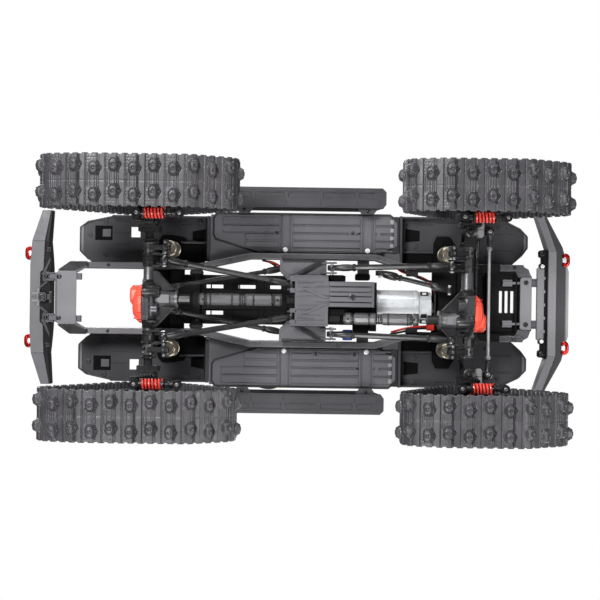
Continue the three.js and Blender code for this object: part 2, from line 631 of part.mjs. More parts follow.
// A blind recess in the underside of a wheel-arch liner, from its [x, y] outline.
function pocket(side, outline) {
  return prismZ(outline.map(([x, y]) => [x, side * y]), [FENDER.bottom - 1, FENDER.bottom + FENDER.recess]);
}

function rearInnerFender(side) {
  const outline = [
    [-233, 50], [-233, 76], [-224.5, 82.5], [-197, 88.5], [-92, 88.5], [-92, FENDER.near], [-224, FENDER.near],
  ];
  return cut(
    innerFender(side, outline, [-95, -92], [-197, -92], 88.5),
    box([-178, -168], across(side, 65.5, 76.5), [FENDER.bottom - 1, FENDER.bottom + FENDER.thickness + 1]),
    pocket(side, [[-215.5, 63], [-199, 63], [-199, 76.5], [-215.5, 76.5]]),
    pocket(side, [[-112, 63.5], [-97.5, 59.5], [-97.5, 75.5], [-112, 72.5]]),
    [[-196, -179, 58], [-196, -179, 70.4], [-125, -113, 80.7], [-160, -118, 84]]
      .map(([x0, x1, y]) => grooveX([x0, x1], side * y, FENDER.bottom)),
  );
}

function frontInnerFender(side) {
  const outline = [
    [109, FENDER.near], [109, 91], [219, 91], [240, 80.5], [248, 72], [248, 59], [242, 51], [231, FENDER.near],
  ];
  return cut(
    innerFender(side, outline, [109, 112], [109, 219], 91),
    pocket(side, [[116.5, 64], [132, 65.6], [132, 76.4], [116.5, 78.5]]),
    [[113, 146, 83.4], [212, 231, 74.3], [212, 231, 56], [150, 172, 86]]
      .map(([x0, x1, y]) => grooveX([x0, x1], side * y, FENDER.bottom)),
  );
}

// A cross-member on the rails with a shock body hanging from each end.
function shockTower([x, y]) {
  return join(
    box([x - 6, x + 6], [-y, y], SHOCK.beam),
    SIDES.map(([, side]) => cut(
      rod([x, side * y, SHOCK.bottom], [x, side * y, SHOCK.top], SHOCK.radius, 16),
      rod([x, side * y, SHOCK.bottom - 1], [x, side * y, SHOCK.boreTop], SHOCK.bore, 10),
    )),
  );
}

// A servo lying on its back between the shock tower and the front mount, with its horn to one side.
function steeringServo() {
  const { rear, front, half, ears, bottom, top, shaftY } = SERVO;
  const shaftZ = (bottom + top) / 2;
  return join(
    box([rear, front], [-half, half], [bottom, top]),
    box([front - 13, front - 10], [-ears, ears], [bottom, top]),
    rod([front - 1, shaftY, shaftZ], [front + 4, shaftY, shaftZ], 3, 12),
    box([front + 1.5, front + 4], [shaftY - 17, shaftY + 3], [shaftZ - 3, shaftZ + 3]),
  );
}

// ---------------------------------------------------------------- bumpers

// A slotted plate behind a cross-bar on the rails' ends, with two stub arms towards the bumper.
function frontBumperMount() {
  const plateZ = [149, 152];
  const barZ = [BUMPER.bottom + 4, BUMPER.top - 8];
  const slots = [216.5, 222.5, 228.5].map((x) => (
    box([x - 1.6, x + 1.6], [-13, 10], [plateZ[0] - 1, plateZ[1] + 1])));
  return join(
    box([238.5, 248], [-29, 29], barZ),
    SIDES.map(([, side]) => box([247, 256], across(side, 19, 25), [barZ[0] + 1, barZ[1] - 1])),
    cut(box([206, 239.5], [-30, 30], plateZ), slots),
  );
}

// A plate under the rails' ends, swept out to meet them, with stub arms towards the bumper.
function rearBumperMount() {
  const { end, front, bottom, thickness, half, railHalf } = REAR_MOUNT;
  const top = bottom + thickness;
  const edge = [
    [end, half - 2], [end + 3, half], [end + 16, railHalf], [front, railHalf], [front, half + 5],
    [front - 12, half - 2],
  ];
  const outline = [...edge, ...edge.map(([x, y]) => [x, -y]).reverse()];
  return join(
    prismZ(outline, [bottom, top]),
    SIDES.map(([, side]) => join(
      box([end + 3, end - 6], across(side, 19, 24), [bottom, BUMPER.bottom + 8]),
      box([end - 3, end - 11], across(side, 19, 24), [BUMPER.bottom + 3, BUMPER.bottom + 8]),
    )),
  );
}

// A bent bar with swept wings. Points run along the outer face, then back along the inner face.
function bumper(outer, inner, recess, tabX) {
  const half = [...outer, ...inner.slice().reverse()];
  const wings = SIDES.map(([, side]) => (
    prismZ(half.map(([x, y]) => [x, side * y]), [BUMPER.bottom, BUMPER.top])));
  const tabs = SIDES.map(([, side]) => (
    box(tabX, across(side, 44.5, 48), [BUMPER.bottom + 3, BUMPER.bottom + 11])));
  return join(cut(join(wings), box(recess, [-22, 22], [BUMPER.bottom - 1, BUMPER.bottom + 3])), tabs);
}

function frontBumper() {
  const outer = [[283, 0], [283, 40], [279, 56], [264, 94]];
  const inner = [[264.5, 0], [264.5, 40], [261, 58], [253, 94]];
  return join(
    bumper(outer, inner, [270, 280], [276, 287]),
    box([256.5, 265.5], [-37, 37], [BUMPER.bottom + 6, BUMPER.bottom + 14]),
  );
}

function rearBumper() {
  const outer = [[-281, 0], [-281, 36], [-280, 57], [-270.5, 93]];
  const inner = [[-264, 0], [-264, 30], [-261, 57], [-259.5, 93]];
  return join(
    bumper(outer, inner, [-279, -268], [-275, -287]),
    box([-266, -257.5], [-6, 6], [BUMPER.bottom + 4, BUMPER.bottom + 12]),
  );
}

// ---------------------------------------------------------------- assembly

function chassis() {
  const group = new THREE.Group();
  const centre = [
    ['skid_plate', skidPlate(), PANEL],
    ['gearbox_housing', gearboxHousing(), BLACK_PLASTIC],
    ['motor', motor(), STEEL],
    ['battery_tray', batteryTray(), BLACK_PLASTIC],
    ['front_bumper', frontBumper(), BUMPER_GREY],
    ['rear_bumper', rearBumper(), BUMPER_GREY],
    ['front_bumper_mount', frontBumperMount(), PANEL],
    ['rear_bumper_mount', rearBumperMount(), PANEL],
    ['steering_servo', steeringServo(), BLACK_PLASTIC],
    ['front_shock_tower', shockTower(SHOCKS.front), BLACK_PLASTIC],
    ['rear_shock_tower', shockTower(SHOCKS.rear), BLACK_PLASTIC],
  ];
  const paired = [
    ['frame_rail', frameRail, BLACK_PLASTIC],
    ['floor_pan', floorPan, PANEL],
    ['rock_slider', rockSlider, PANEL],
    ['front_inner_fender', frontInnerFender, PANEL],
    ['rear_inner_fender', rearInnerFender, PANEL],
  ];
  centre.forEach((piece) => group.add(part(...piece)));
  paired.forEach(([name, build, look]) => SIDES.forEach(([sideName, side]) => {
    group.add(part(`${name}_${sideName}`, build(side), look));
  }));
  return group;
}

function suspension() {
  const group = new THREE.Group();
  group.add(
    part('rear_axle_housing', rearAxleHousing(), BLACK_PLASTIC),
    part('front_axle_housing', frontAxleHousing(), BLACK_PLASTIC),
    part('rear_diff_cover', diffCover(REAR_AXLE_X, -1, COVER.rear), RED_PLASTIC),
    part('front_diff_cover', diffCover(FRONT_AXLE_X, 1, COVER.front), RED_PLASTIC),
    part('tie_rod', tieRod(), STEEL),
    part('rear_driveshaft', driveshaft(SHAFT_JOINTS.rear, 0), BLACK_PLASTIC),
    part('front_driveshaft', driveshaft(SHAFT_JOINTS.front, FRONT_SHAFT_Y), BLACK_PLASTIC),
  );
  SIDES.forEach(([sideName, side]) => {
    group.add(part(`steering_knuckle_${sideName}`, steeringKnuckle(side), BLACK_PLASTIC));
    Object.entries(LINKS).forEach(([name, spec]) => {
      group.add(part(`${name}_${sideName}`, link(spec, side), BLACK_PLASTIC));
    });
  });
  return group;
}

const crawler = new THREE.Group();
crawler.add(chassis(), suspension());
Object.keys(TRACKS).forEach((end) => SIDES.forEach(([sideName, side]) => {
  crawler.add(trackUnit(end, sideName, side));
}));

export default crawler;
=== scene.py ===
"""Looks for the tracked crawler chassis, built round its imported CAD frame.

Shapes are given in millimetres and turned into metres when a mesh is made. +X is forward, +Y left, +Z up, and
Z = 0 the ground. A piece that comes in pairs is drawn for the left side and mirrored for the right.
"""
import json
import math

import bpy
import numpy as np
from mathutils import Matrix, Vector


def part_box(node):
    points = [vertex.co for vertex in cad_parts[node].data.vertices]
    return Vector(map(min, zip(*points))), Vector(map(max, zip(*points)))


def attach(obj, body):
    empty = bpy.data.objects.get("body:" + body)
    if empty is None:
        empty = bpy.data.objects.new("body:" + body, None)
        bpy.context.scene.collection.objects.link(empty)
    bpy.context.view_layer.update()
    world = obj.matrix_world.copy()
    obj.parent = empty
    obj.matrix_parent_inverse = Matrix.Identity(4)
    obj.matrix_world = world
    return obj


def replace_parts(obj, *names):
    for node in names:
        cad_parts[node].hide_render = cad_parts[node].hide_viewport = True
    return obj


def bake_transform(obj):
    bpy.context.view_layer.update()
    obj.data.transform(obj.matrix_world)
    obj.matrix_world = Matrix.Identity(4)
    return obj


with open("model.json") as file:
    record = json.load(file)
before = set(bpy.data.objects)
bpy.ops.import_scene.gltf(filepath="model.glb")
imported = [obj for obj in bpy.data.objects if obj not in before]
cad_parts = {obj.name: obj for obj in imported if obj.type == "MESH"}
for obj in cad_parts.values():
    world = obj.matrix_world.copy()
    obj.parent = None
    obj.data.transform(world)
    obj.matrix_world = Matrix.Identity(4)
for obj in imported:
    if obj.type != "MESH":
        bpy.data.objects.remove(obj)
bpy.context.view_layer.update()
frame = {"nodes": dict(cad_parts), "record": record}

MM = 0.001
SIDES = {"left": 1, "right": -1}
ENDS = ("front", "rear")
AHEAD, OUT, UP, DOWN = Vector((1, 0, 0)), Vector((0, 1, 0)), Vector((0, 0, 1)), Vector((0, 0, -1))


# ---------------------------------------------------------------- places taken from the frame

def mid(node):
    """The middle of a CAD node's box, in millimetres."""
    low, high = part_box(node)
    return (low + high) / 2 / MM


def span(node, axis):
    """The lowest and highest value of a CAD node along one axis, in millimetres."""
    low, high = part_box(node)
    return low[axis] / MM, high[axis] / MM


def flat(node):
    """The height of a CAD node's lowest face."""
    return span(node, 2)[0]


AXLE_X = {end: mid(f"{end}_left_sprocket").x for end in ENDS}
WHEEL_Z = mid("rear_left_sprocket").z
TRACK_Y = mid("rear_left_belt").y
AXLE_Z = mid("rear_diff_cover").z


# ---------------------------------------------------------------- driving dimensions

BELT_THICKNESS = 3.5
BELT_HALF = 25.0
LUG_HEIGHT = 6.0
LUG_PITCH = 18.8
BELT_STEPS = 38
BELT_COLUMNS = 84
ROLLER_RADIUS = 12.0
ROLLER_WIDTH = 11.0
ROLLER_Z = BELT_THICKNESS + LUG_HEIGHT + ROLLER_RADIUS
ROLLERS = {"front": (-30, 4, 38), "rear": (-50, -2, 46)}
WHEEL_CLEARANCE = 0.5
IDLER_FACES = (97.0, 124.0)
OUTER_PLATE = 129.5
FRAME_INNER_FACE = 91.0
SPROCKET_FACE = 122.0
BOLT_CIRCLE = 18.0

DAMPER_EYE = 4.2
SPRING_STARTS = {"front": 13.0, "rear": 10.5}
SPRING_LENGTH = 21.5
SPRING_RADIUS = 4.75
SPRING_WIRE = 1.15

SNOUT_Y = {"rear": 0.0, "front": 18.0}
TUBE_RADIUS = {"rear": 5.6, "front": 6.2}
TUBE_END = 57.0
CASE_WIDTH = 0.7
CASE_FACE = 5.2
CASE_BARREL_Y = {"rear": -7.0, "front": 20.5}
CASE_BAND_Y = {"rear": (-0.5, 21.5), "front": (-7.0, 13.0)}
KINGPIN_Y = 72.0
SHOCK_PLACES = {"rear": (-131, 52), "front": (157.5, 50)}
SHOCK_FOOT_Z = AXLE_Z - 7
LINKS = {
    "rear_lower_link": ((-4, 16.5, 116), (-134, 39.5, 100), 3.0),
    "rear_upper_link": ((-11, 34, 141), (-141, 10, 125), 2.4),
    "front_lower_link": ((37, 34, 116), (158, 37.5, 100), 3.0),
}
FRONT_UPPER_LINK = (Vector((88, -30, 140)), Vector((160, -13, 131)))

OUTPUT_SHAFT_Z = 116.0
SKID_WING_Z = 122.0
MOTOR_CAN_LENGTH = 43.5
PAN_OUTLINE = [(-87, 86), (-84, 90), (98, 90), (106, 83), (106, 59), (88, 51), (-39, 51), (-85, 65), (-87, 69)]
PAN_LANES = (51.0, 55.0, 63.0, 71.0, 79.5, 88.5)
PAN_SCREWS = {"right": [(-20.7, 71.4), (58.9, 71.9)], "left": [(21.3, 56.0), (62.7, 56.0)]}
FENDER_RIMS = {
    "front": [(116, 90), (218.4, 90), (239.4, 79.6), (247, 71.6), (247, 59.4), (241.2, 51.6), (230.4, 42)],
    "rear": [(-98, 87.5), (-196.6, 87.5), (-224, 81.5), (-232, 75.4), (-232, 50.4), (-223.4, 42)],
}
FENDER_LIPS = {
    "front": [(243.4, 54), (248, 59), (248, 72), (243.4, 76)],
    "rear": [(-228.6, 45.8), (-233, 50), (-233, 76), (-228.6, 79.2)],
}
FENDER_FLANGES = {
    "front": [(112, 42), (112, 37.6), (226, 37.6), (231, 42)],
    "rear": [(-98, 42), (-98, 37.2), (-219, 37.2), (-224, 42)],
}
FENDER_WELLS = {
    "front": [([(114, 41.5), (146, 41.5), (146, 52), (114, 52)], 2.4),
              ([(146.5, 41.5), (171, 41.5), (171, 60), (164, 70.5), (150, 70.5), (146.5, 63)], 3.2)],
    "rear": [([(-148, 40.5), (-91, 40.5), (-91, 56), (-95, 59), (-114, 59), (-120, 66), (-131, 68), (-143, 68),
               (-148, 62)], 2.4)],
}
FENDER_POCKETS = {
    "front": [(116.5, 64), (132, 65.6), (132, 76.4), (116.5, 78.5)],
    "rear": [(-112, 63.5), (-97.5, 59.5), (-97.5, 75.5), (-112, 72.5)],
}
FENDER_BOSSES = {
    "front": [(127.5, 86.8), (127.5, 60), (218, 81), (205, 49)],
    "rear": [(-222, 68), (-205, 82), (-104, 83), (-205, 47), (-188, 47)],
}
FENDER_BARS = {"front": (112, 146, 53.2), "rear": (-124, -97, 60.5)}
FENDER_WALLS = {"front": (112.2, 114.8, 112.2), "rear": (-98.0, -95.4, -95.4)}
FENDER_TOPS = {"front": (122, 214), "rear": (-190, -104)}
TOW_BOW = [(-1.0, 5.0), (0.2, 5.0), (1.5, 4.3), (2.2, 2.8), (2.3, 0), (2.2, -2.8), (1.5, -4.3), (0.2, -5.0),
           (-1.0, -5.0)]
TOW_RING_Y = 46.0
BUMPER_HEIGHT = 21.0
FRONT_MOUNT_Z = 142.0
GUARD_Z = (148.2, 149.1)
LEAD_RADIUS = 1.15
LEADS = {
    "motor_lead_red": [(104, -38, 152), (112, -32, 151), (122, -29, 150), (133, -26, 150), (143, -20, 149),
                       (146, -12, 146)],
    "motor_lead_black": [(104, -41, 150), (114, -33, 148), (124, -28, 147), (136, -23, 147), (146, -18, 147),
                         (146, 15, 141)],
    "servo_lead_red": [(101, 32, 149), (108, 30, 148), (118, 27.5, 147), (128, 26, 147), (139, 25.4, 147)],
    "servo_lead_black": [(100, 34, 148), (108, 32.5, 147), (119, 30, 146), (129, 28, 146), (139, 27.4, 146)],
    "battery_lead_red": [(-31, -41, 146), (-26, -40, 144), (-20, -37.5, 144), (-14, -33, 147), (-8, -28, 151)],
    "battery_lead_black": [(-36, -42, 148), (-28, -40, 146), (-22, -36, 146), (-16, -31, 149), (-9, -26, 152)],
    "antenna_lead": [(-44, 88, 154), (-38, 91.8, 155), (-30, 93.6, 156), (-22, 93, 156), (-16, 90, 155)],
}

CAMERA_PLACE = Vector((4.3, -0.6, -1050.0))
CAMERA_ROLL = math.radians(0.81)
LENS = 68.0
FLOOR_HALF = 6.0
FLOOR_DROP = 0.0005


# ---------------------------------------------------------------- materials

def shader(name):
    """A new node material, with its tree and its Principled shader."""
    material = bpy.data.materials.new(name)
    material.use_nodes = True
    tree = material.node_tree
    return material, tree, tree.nodes["Principled BSDF"]


def added(tree, kind, inputs=(), links=()):
    """A new shader node of a kind, with some inputs set and others joined to outputs."""
    node = tree.nodes.new(f"ShaderNode{kind}")
    for key, value in dict(inputs).items():
        node.inputs[key].default_value = value
    for key, output in dict(links).items():
        tree.links.new(output, node.inputs[key])
    return node


def noise(tree, scale, detail=3.0, roughness=0.55):
    """Noise in the object's own space."""
    settings = {"Scale": scale, "Detail": detail, "Roughness": roughness}
    place = added(tree, "TexCoord").outputs["Object"]
    return added(tree, "TexNoise", settings, {"Vector": place}).outputs["Fac"]


def ranged(tree, value, low, high, start=0.3, end=0.7):
    """A value remapped to run from low to high."""
    settings = {"From Min": start, "From Max": end, "To Min": low, "To Max": high}
    return added(tree, "MapRange", settings, {"Value": value}).outputs["Result"]


def blended(tree, factor, dark, light):
    """A colour between two, by a factor."""
    node = tree.nodes.new("ShaderNodeMix")
    node.data_type = "RGBA"
    node.inputs["A"].default_value = (*dark, 1)
    node.inputs["B"].default_value = (*light, 1)
    tree.links.new(factor, node.inputs["Factor"])
    return node.outputs["Result"]


def bumped(tree, height, strength, distance, normal=None):
    """A surface normal raised by a height, over another normal if one is given."""
    links = {"Height": height, "Normal": normal} if normal else {"Height": height}
    return added(tree, "Bump", {"Strength": strength, "Distance": distance}, links).outputs["Normal"]


def moulded(name, dark, light, gloss, grain=2600, texture=0.25, specular=0.28):
    """Moulded plastic: a fine spark-eroded grain, faint flow marks and uneven gloss."""
    material, tree, principled = shader(name)
    flow = noise(tree, 24, 5, 0.6)
    tree.links.new(blended(tree, ranged(tree, flow, 0, 1), dark, light), principled.inputs["Base Color"])
    smear = noise(tree, 60, 4, 0.7)
    tree.links.new(ranged(tree, smear, gloss - 0.07, gloss + 0.08), principled.inputs["Roughness"])
    fine = bumped(tree, noise(tree, grain, 2, 0.5), texture, 0.00012)
    wave = bumped(tree, noise(tree, 90, 2, 0.5), 0.12, 0.0006, fine)
    tree.links.new(wave, principled.inputs["Normal"])
    principled.inputs["Specular IOR Level"].default_value = specular
    return material


def metal(name, dark, light, gloss, grain=900, texture=0.1, coat=0.0, metallic=1.0):
    """Bare or coated metal with faint stains and fine marks."""
    material, tree, principled = shader(name)
    stain = noise(tree, 70, 5, 0.65)
    tree.links.new(blended(tree, ranged(tree, stain, 0, 1), dark, light), principled.inputs["Base Color"])
    tree.links.new(ranged(tree, noise(tree, 240, 4), gloss - 0.06, gloss + 0.1), principled.inputs["Roughness"])
    tree.links.new(bumped(tree, noise(tree, grain, 3), texture, 0.0001), principled.inputs["Normal"])
    principled.inputs["Metallic"].default_value = metallic
    principled.inputs["Coat Weight"].default_value = coat
    principled.inputs["Coat Roughness"].default_value = 0.12
    return material


def rubber(name):
    """Belt rubber: a dry, slightly bloomed surface with fine pitting."""
    material, tree, principled = shader(name)
    bloom = noise(tree, 45, 6, 0.7)
    colour = blended(tree, ranged(tree, bloom, 0, 1), (0.026, 0.025, 0.028), (0.050, 0.047, 0.053))
    tree.links.new(colour, principled.inputs["Base Color"])
    tree.links.new(ranged(tree, noise(tree, 150, 4), 0.34, 0.52), principled.inputs["Roughness"])
    tree.links.new(bumped(tree, noise(tree, 2200, 3), 0.3, 0.00015), principled.inputs["Normal"])
    return material


PANEL = moulded("panel_plastic", (0.070, 0.068, 0.075), (0.092, 0.090, 0.099), 0.46)
BLACK = moulded("black_plastic", (0.009, 0.009, 0.010), (0.016, 0.016, 0.017), 0.31, specular=0.38)
SATIN = moulded("satin_black", (0.024, 0.024, 0.026), (0.036, 0.036, 0.039), 0.30, specular=0.55)
# The fender liners and their ribs are drawn darker than the panel plastic: painted shade for the shadow the fenders
# sit in.
LINER_PAINTED_SHADE = moulded("liner_painted_shade", (0.030, 0.029, 0.032), (0.044, 0.042, 0.047), 0.42)
STEP = moulded("step_plastic", (0.031, 0.030, 0.034), (0.043, 0.042, 0.047), 0.42)
# A lighter grey used on several parts; on the axle snouts it is a painted highlight, and on the left rail's rear strip
# painted light.
LIGHT_GREY_AND_PAINTED_LIGHT = moulded("light_grey_and_painted_light", (0.125, 0.122, 0.130), (0.155, 0.152, 0.162), 0.42)
# A pale grey for the front bumper's face and ledge and the front mount's pins and bar: painted light, for the light
# these parts lack.
PALE_GREY_PAINTED_LIGHT = moulded("pale_grey_painted_light", (0.160, 0.156, 0.166), (0.195, 0.190, 0.202), 0.42)
# Painted shade: a dark copy of the bumper plastic for the front bumper's slope and the rear bumper's truss.
PAINTED_SHADE = moulded("bumper_painted_shade", (0.030, 0.029, 0.032), (0.042, 0.040, 0.045), 0.44)
RAIL = moulded("rail_satin", (0.050, 0.049, 0.053), (0.070, 0.068, 0.074), 0.30, specular=0.6)
SHAFT = moulded("shaft_satin", (0.050, 0.049, 0.052), (0.068, 0.067, 0.071), 0.32, specular=0.6)
TUBE = moulded("tube_satin", (0.032, 0.032, 0.035), (0.046, 0.046, 0.049), 0.38, specular=0.9)
# Deep black: the own black of the tray, gearbox, cross members and servo guard, and painted shade in the pan-to-rail
# gaps, under the front rails, in the front bumper's recesses and on the rear bumper's inner side.
DEEP_BLACK_AND_SHADE = moulded("deep_black_and_shade", (0.004, 0.004, 0.004), (0.008, 0.008, 0.008), 0.45, specular=0.12)
GREY = moulded("bumper_plastic", (0.090, 0.089, 0.096), (0.116, 0.115, 0.122), 0.46)
RED = moulded("red_plastic", (0.74, 0.070, 0.040), (0.88, 0.100, 0.060), 0.34)
# Painted shade: a dark copy of the panel plastic round the floor pans' edges and on their front slopes.
PANEL_PAINTED_SHADE = moulded("panel_painted_shade", (0.020, 0.019, 0.021), (0.030, 0.029, 0.032), 0.5)
# Near black: the colour of the servo and the gearbox brackets, and painted shade in the fender wells and pockets.
PITCH_BLACK_AND_SHADE = moulded("pitch_black_and_shade", (0.003, 0.003, 0.003), (0.006, 0.006, 0.006), 0.7, specular=0.04)
# A light grey: the steering caps and the front bumper's plate, and a painted highlight on the floor pans' lane ends.
CAP_GREY_AND_HIGHLIGHT = moulded("cap_grey_and_highlight", (0.20, 0.20, 0.205), (0.27, 0.27, 0.275), 0.45)
WIRE_RED = moulded("wire_red", (0.48, 0.020, 0.014), (0.60, 0.035, 0.022), 0.34)
WIRE_BLACK = moulded("wire_black", (0.010, 0.010, 0.010), (0.018, 0.018, 0.018), 0.4)
WIRE_BLUE = moulded("wire_blue", (0.010, 0.035, 0.16), (0.018, 0.055, 0.24), 0.35)
RUBBER = rubber("belt_rubber")
SPRING_RED = metal("spring_red", (0.72, 0.050, 0.036), (0.86, 0.070, 0.050), 0.32, coat=0.4, metallic=0.15)
STEEL = metal("plated_steel", (0.76, 0.78, 0.80), (0.84, 0.86, 0.88), 0.32, texture=0.02, metallic=0.45)
TIE_STEEL = metal("tie_rod_steel", (0.24, 0.24, 0.25), (0.32, 0.32, 0.33), 0.36, texture=0.02, metallic=0.6)
SCREW = metal("blackened_steel", (0.030, 0.030, 0.032), (0.075, 0.075, 0.078), 0.36)
RED_PLATED = metal("red_anodised", (0.46, 0.012, 0.010), (0.62, 0.022, 0.016), 0.32, coat=0.4)
BRONZE = metal("shock_bronze", (0.34, 0.30, 0.235), (0.46, 0.41, 0.33), 0.30, metallic=0.85)
LOOKS = {
    "panel_plastic": PANEL, "black_plastic": BLACK, "bumper_plastic": GREY, "belt_rubber": RUBBER,
    "red_plastic": RED, "red_steel": SPRING_RED, "motor_steel": STEEL, "shock_bronze": BRONZE,
}
OWN_LOOKS = {
    "fender": LINER_PAINTED_SHADE, "rock_slider": STEP, "driveshaft": SHAFT, "frame_rail": RAIL, "servo": PITCH_BLACK_AND_SHADE,
    "battery_tray": DEEP_BLACK_AND_SHADE, "gearbox_housing": DEEP_BLACK_AND_SHADE,
}
# The left rail's rear strip is lighter and the right one darker: painted light and shade for the uneven light on the
# two rails.
RAIL_LIGHT_AND_SHADE = {"left": LIGHT_GREY_AND_PAINTED_LIGHT, "right": PANEL}


# ---------------------------------------------------------------- shapes, as (points, faces) in mm

def joined(*shapes):
    """Several shapes as one. A list counts as its own members."""
    points, faces = [], []
    for shape in shapes:
        if isinstance(shape, list):
            shape = joined(*shape)
        start = len(points)
        points += shape[0]
        faces += [tuple(start + i for i in face) for face in shape[1]]
    return points, faces


def lofted(rings, closed_ends=True):
    """A skin over rings of equal length."""
    count = len(rings[0])
    points = [tuple(p) for ring in rings for p in ring]
    faces = []
    for r in range(len(rings) - 1):
        a, b = r * count, (r + 1) * count
        faces += [(a + i, a + (i + 1) % count, b + (i + 1) % count, b + i) for i in range(count)]
    if closed_ends:
        faces.append(tuple(range(count - 1, -1, -1)))
        last = (len(rings) - 1) * count
        faces.append(tuple(last + i for i in range(count)))
    return points, faces


def prism(outline, axis, low, high):
    """An outline in the two other axes, carried along one axis."""
    def spot(u, v, w):
        return {"x": (w, u, v), "y": (u, w, v), "z": (u, v, w)}[axis]
    area = sum(a[0] * b[1] - b[0] * a[1] for a, b in zip(outline, outline[1:] + outline[:1]))
    flip = (area < 0) != (axis == "y")
    points = outline[::-1] if flip else outline
    low, high = sorted((low, high))
    return lofted([[spot(u, v, w) for u, v in points] for w in (low, high)])


def upright(outline, low, high):
    """An (x, y) outline carried from one height to another."""
    return prism(outline, "z", low, high)


def block(x, y, z):
    """A box from its ranges along the three axes."""
    (x0, x1), (y0, y1) = sorted(x), sorted(y)
    return prism([(x0, y0), (x1, y0), (x1, y1), (x0, y1)], "z", *z)


def chamfered(x, y, z, chamfer):
    """A block with its four upright corners cut off."""
    (x0, x1), (y0, y1), c = sorted(x), sorted(y), chamfer
    outline = [(x0 + c, y0), (x1 - c, y0), (x1, y0 + c), (x1, y1 - c), (x1 - c, y1), (x0 + c, y1), (x0, y1 - c),
               (x0, y0 + c)]
    return upright(outline, *z)


def around(value, half):
    """A range about a middle value."""
    return value - half, value + half


def flipped(shape):
    """A shape's mirror image across the centre plane."""
    points, faces = joined(shape)
    return [(x, -y, z) for x, y, z in points], [face[::-1] for face in faces]


def twice(*shapes):
    """Shapes drawn for the left side, and their mirror images."""
    return [*shapes, flipped(list(shapes))]


def basis(direction):
    """Two unit vectors square to a direction, as a right-handed set with it."""
    along = Vector(direction).normalized()
    helper = Vector((0, 0, 1)) if abs(along.z) < 0.9 else Vector((1, 0, 0))
    u = helper.cross(along).normalized()
    return u, along.cross(u)


def ring(centre, u, v, radius, sides):
    """Points on a circle."""
    turn = 2 * math.pi / sides
    return [Vector(centre) + u * radius * math.cos(i * turn) + v * radius * math.sin(i * turn)
            for i in range(sides)]


def turned(profile, start, way, sides=24):
    """A profile of (radius, distance) points turned about the line that leaves start in a direction."""
    start, along = Vector(start), Vector(way).normalized()
    u, v = basis(along)
    return lofted([ring(start + along * d, u, v, max(r, 0.01), sides) for r, d in profile])


def rod(start, end, radius, sides=16):
    """A round bar between two points."""
    way = Vector(end) - Vector(start)
    return turned([(radius, 0), (radius, way.length)], start, way, sides)


def tube(path, radius, sides=10):
    """A round tube along a path of points, with its ring carried from point to point untwisted."""
    path = [Vector(p) for p in path]
    headings = [(path[min(i + 1, len(path) - 1)] - path[max(i - 1, 0)]).normalized() for i in range(len(path))]
    u, _ = basis(headings[0])
    rings = []
    for point, heading in zip(path, headings):
        u = (u - heading * u.dot(heading)).normalized()
        rings.append(ring(point, u, heading.cross(u), radius, sides))
    return lofted(rings)


def helix(start, end, radius, turns, per_turn):
    """Points of a coil round the line from start to end."""
    start, end = Vector(start), Vector(end)
    u, v = basis(end - start)
    count = int(turns * per_turn)
    points = []
    for i in range(count + 1):
        angle = 2 * math.pi * turns * i / count
        points.append(start.lerp(end, i / count) + (u * math.cos(angle) + v * math.sin(angle)) * radius)
    return points


def smooth_path(points, steps=8):
    """A Catmull-Rom curve through given points."""
    points = [Vector(p) for p in points]
    padded = [2 * points[0] - points[1], *points, 2 * points[-1] - points[-2]]
    path = []
    for p0, p1, p2, p3 in zip(padded, padded[1:], padded[2:], padded[3:]):
        for i in range(steps):
            t = i / steps
            path.append(0.5 * (2 * p1 + (p2 - p0) * t + (2 * p0 - 5 * p1 + 4 * p2 - p3) * t ** 2
                               + (3 * p1 - p0 - 3 * p2 + p3) * t ** 3))
    return path + [points[-1]]


def swept(stations):
    """A skin over upright four-cornered stations (y, x0, x1, z0, z1), whichever way they run."""
    rings = []
    for y, xa, xb, za, zb in stations:
        (x0, x1), (z0, z1) = sorted((xa, xb)), sorted((za, zb))
        rings.append([(x0, y, z0), (x1, y, z0), (x1, y, z1), (x0, y, z1)])
    if stations[-1][0] > stations[0][0]:
        rings = [ring_points[::-1] for ring_points in rings]
    return lofted(rings)


def grown(outline, distance):
    """A convex outline moved outward by a distance."""
    count = len(outline)
    centre = (sum(p[0] for p in outline) / count, sum(p[1] for p in outline) / count)
    result = []
    for i, (x, y) in enumerate(outline):
        (xa, ya), (xb, yb) = outline[i - 1], outline[(i + 1) % count]
        edges = [Vector((y - ya, xa - x)).normalized(), Vector((yb - y, x - xb)).normalized()]
        normal = (edges[0] + edges[1]).normalized()
        if normal.dot(Vector((x - centre[0], y - centre[1]))) < 0:
            normal = -normal
        shift = distance / max(0.5, abs(normal.dot(edges[0])))
        result.append((x + normal.x * shift, y + normal.y * shift))
    return result


def screw(place, way, radius=2.0):
    """A button-head screw with a socket, standing up from a face along a direction."""
    profile = [(radius, -0.4), (radius, 0.4), (0.86 * radius, 0.85), (0.62 * radius, 1.15), (0.5 * radius, 1.2),
               (0.46 * radius, 0.4), (0.01, 0.4)]
    return turned(profile, place, way, 20)


def hexagon(place, way, radius, length):
    """A six-sided nut or hexagonal section, with chamfered corners."""
    ease = 0.16 * radius
    return turned([(0.85 * radius, 0), (radius, ease), (radius, length - ease), (0.85 * radius, length)],
                  place, way, 6)


def ball(centre, way, radius, steps=9):
    """A pierced ball on a pin: a sphere with flats where the pin's collars meet it."""
    way = Vector(way).normalized()
    arc = [math.radians(25 + 130 * i / (steps - 1)) for i in range(steps)]
    profile = [(radius * math.sin(a), radius - radius * math.cos(a)) for a in arc]
    return turned(profile, Vector(centre) - way * radius, way, 20)


# ---------------------------------------------------------------- pieces

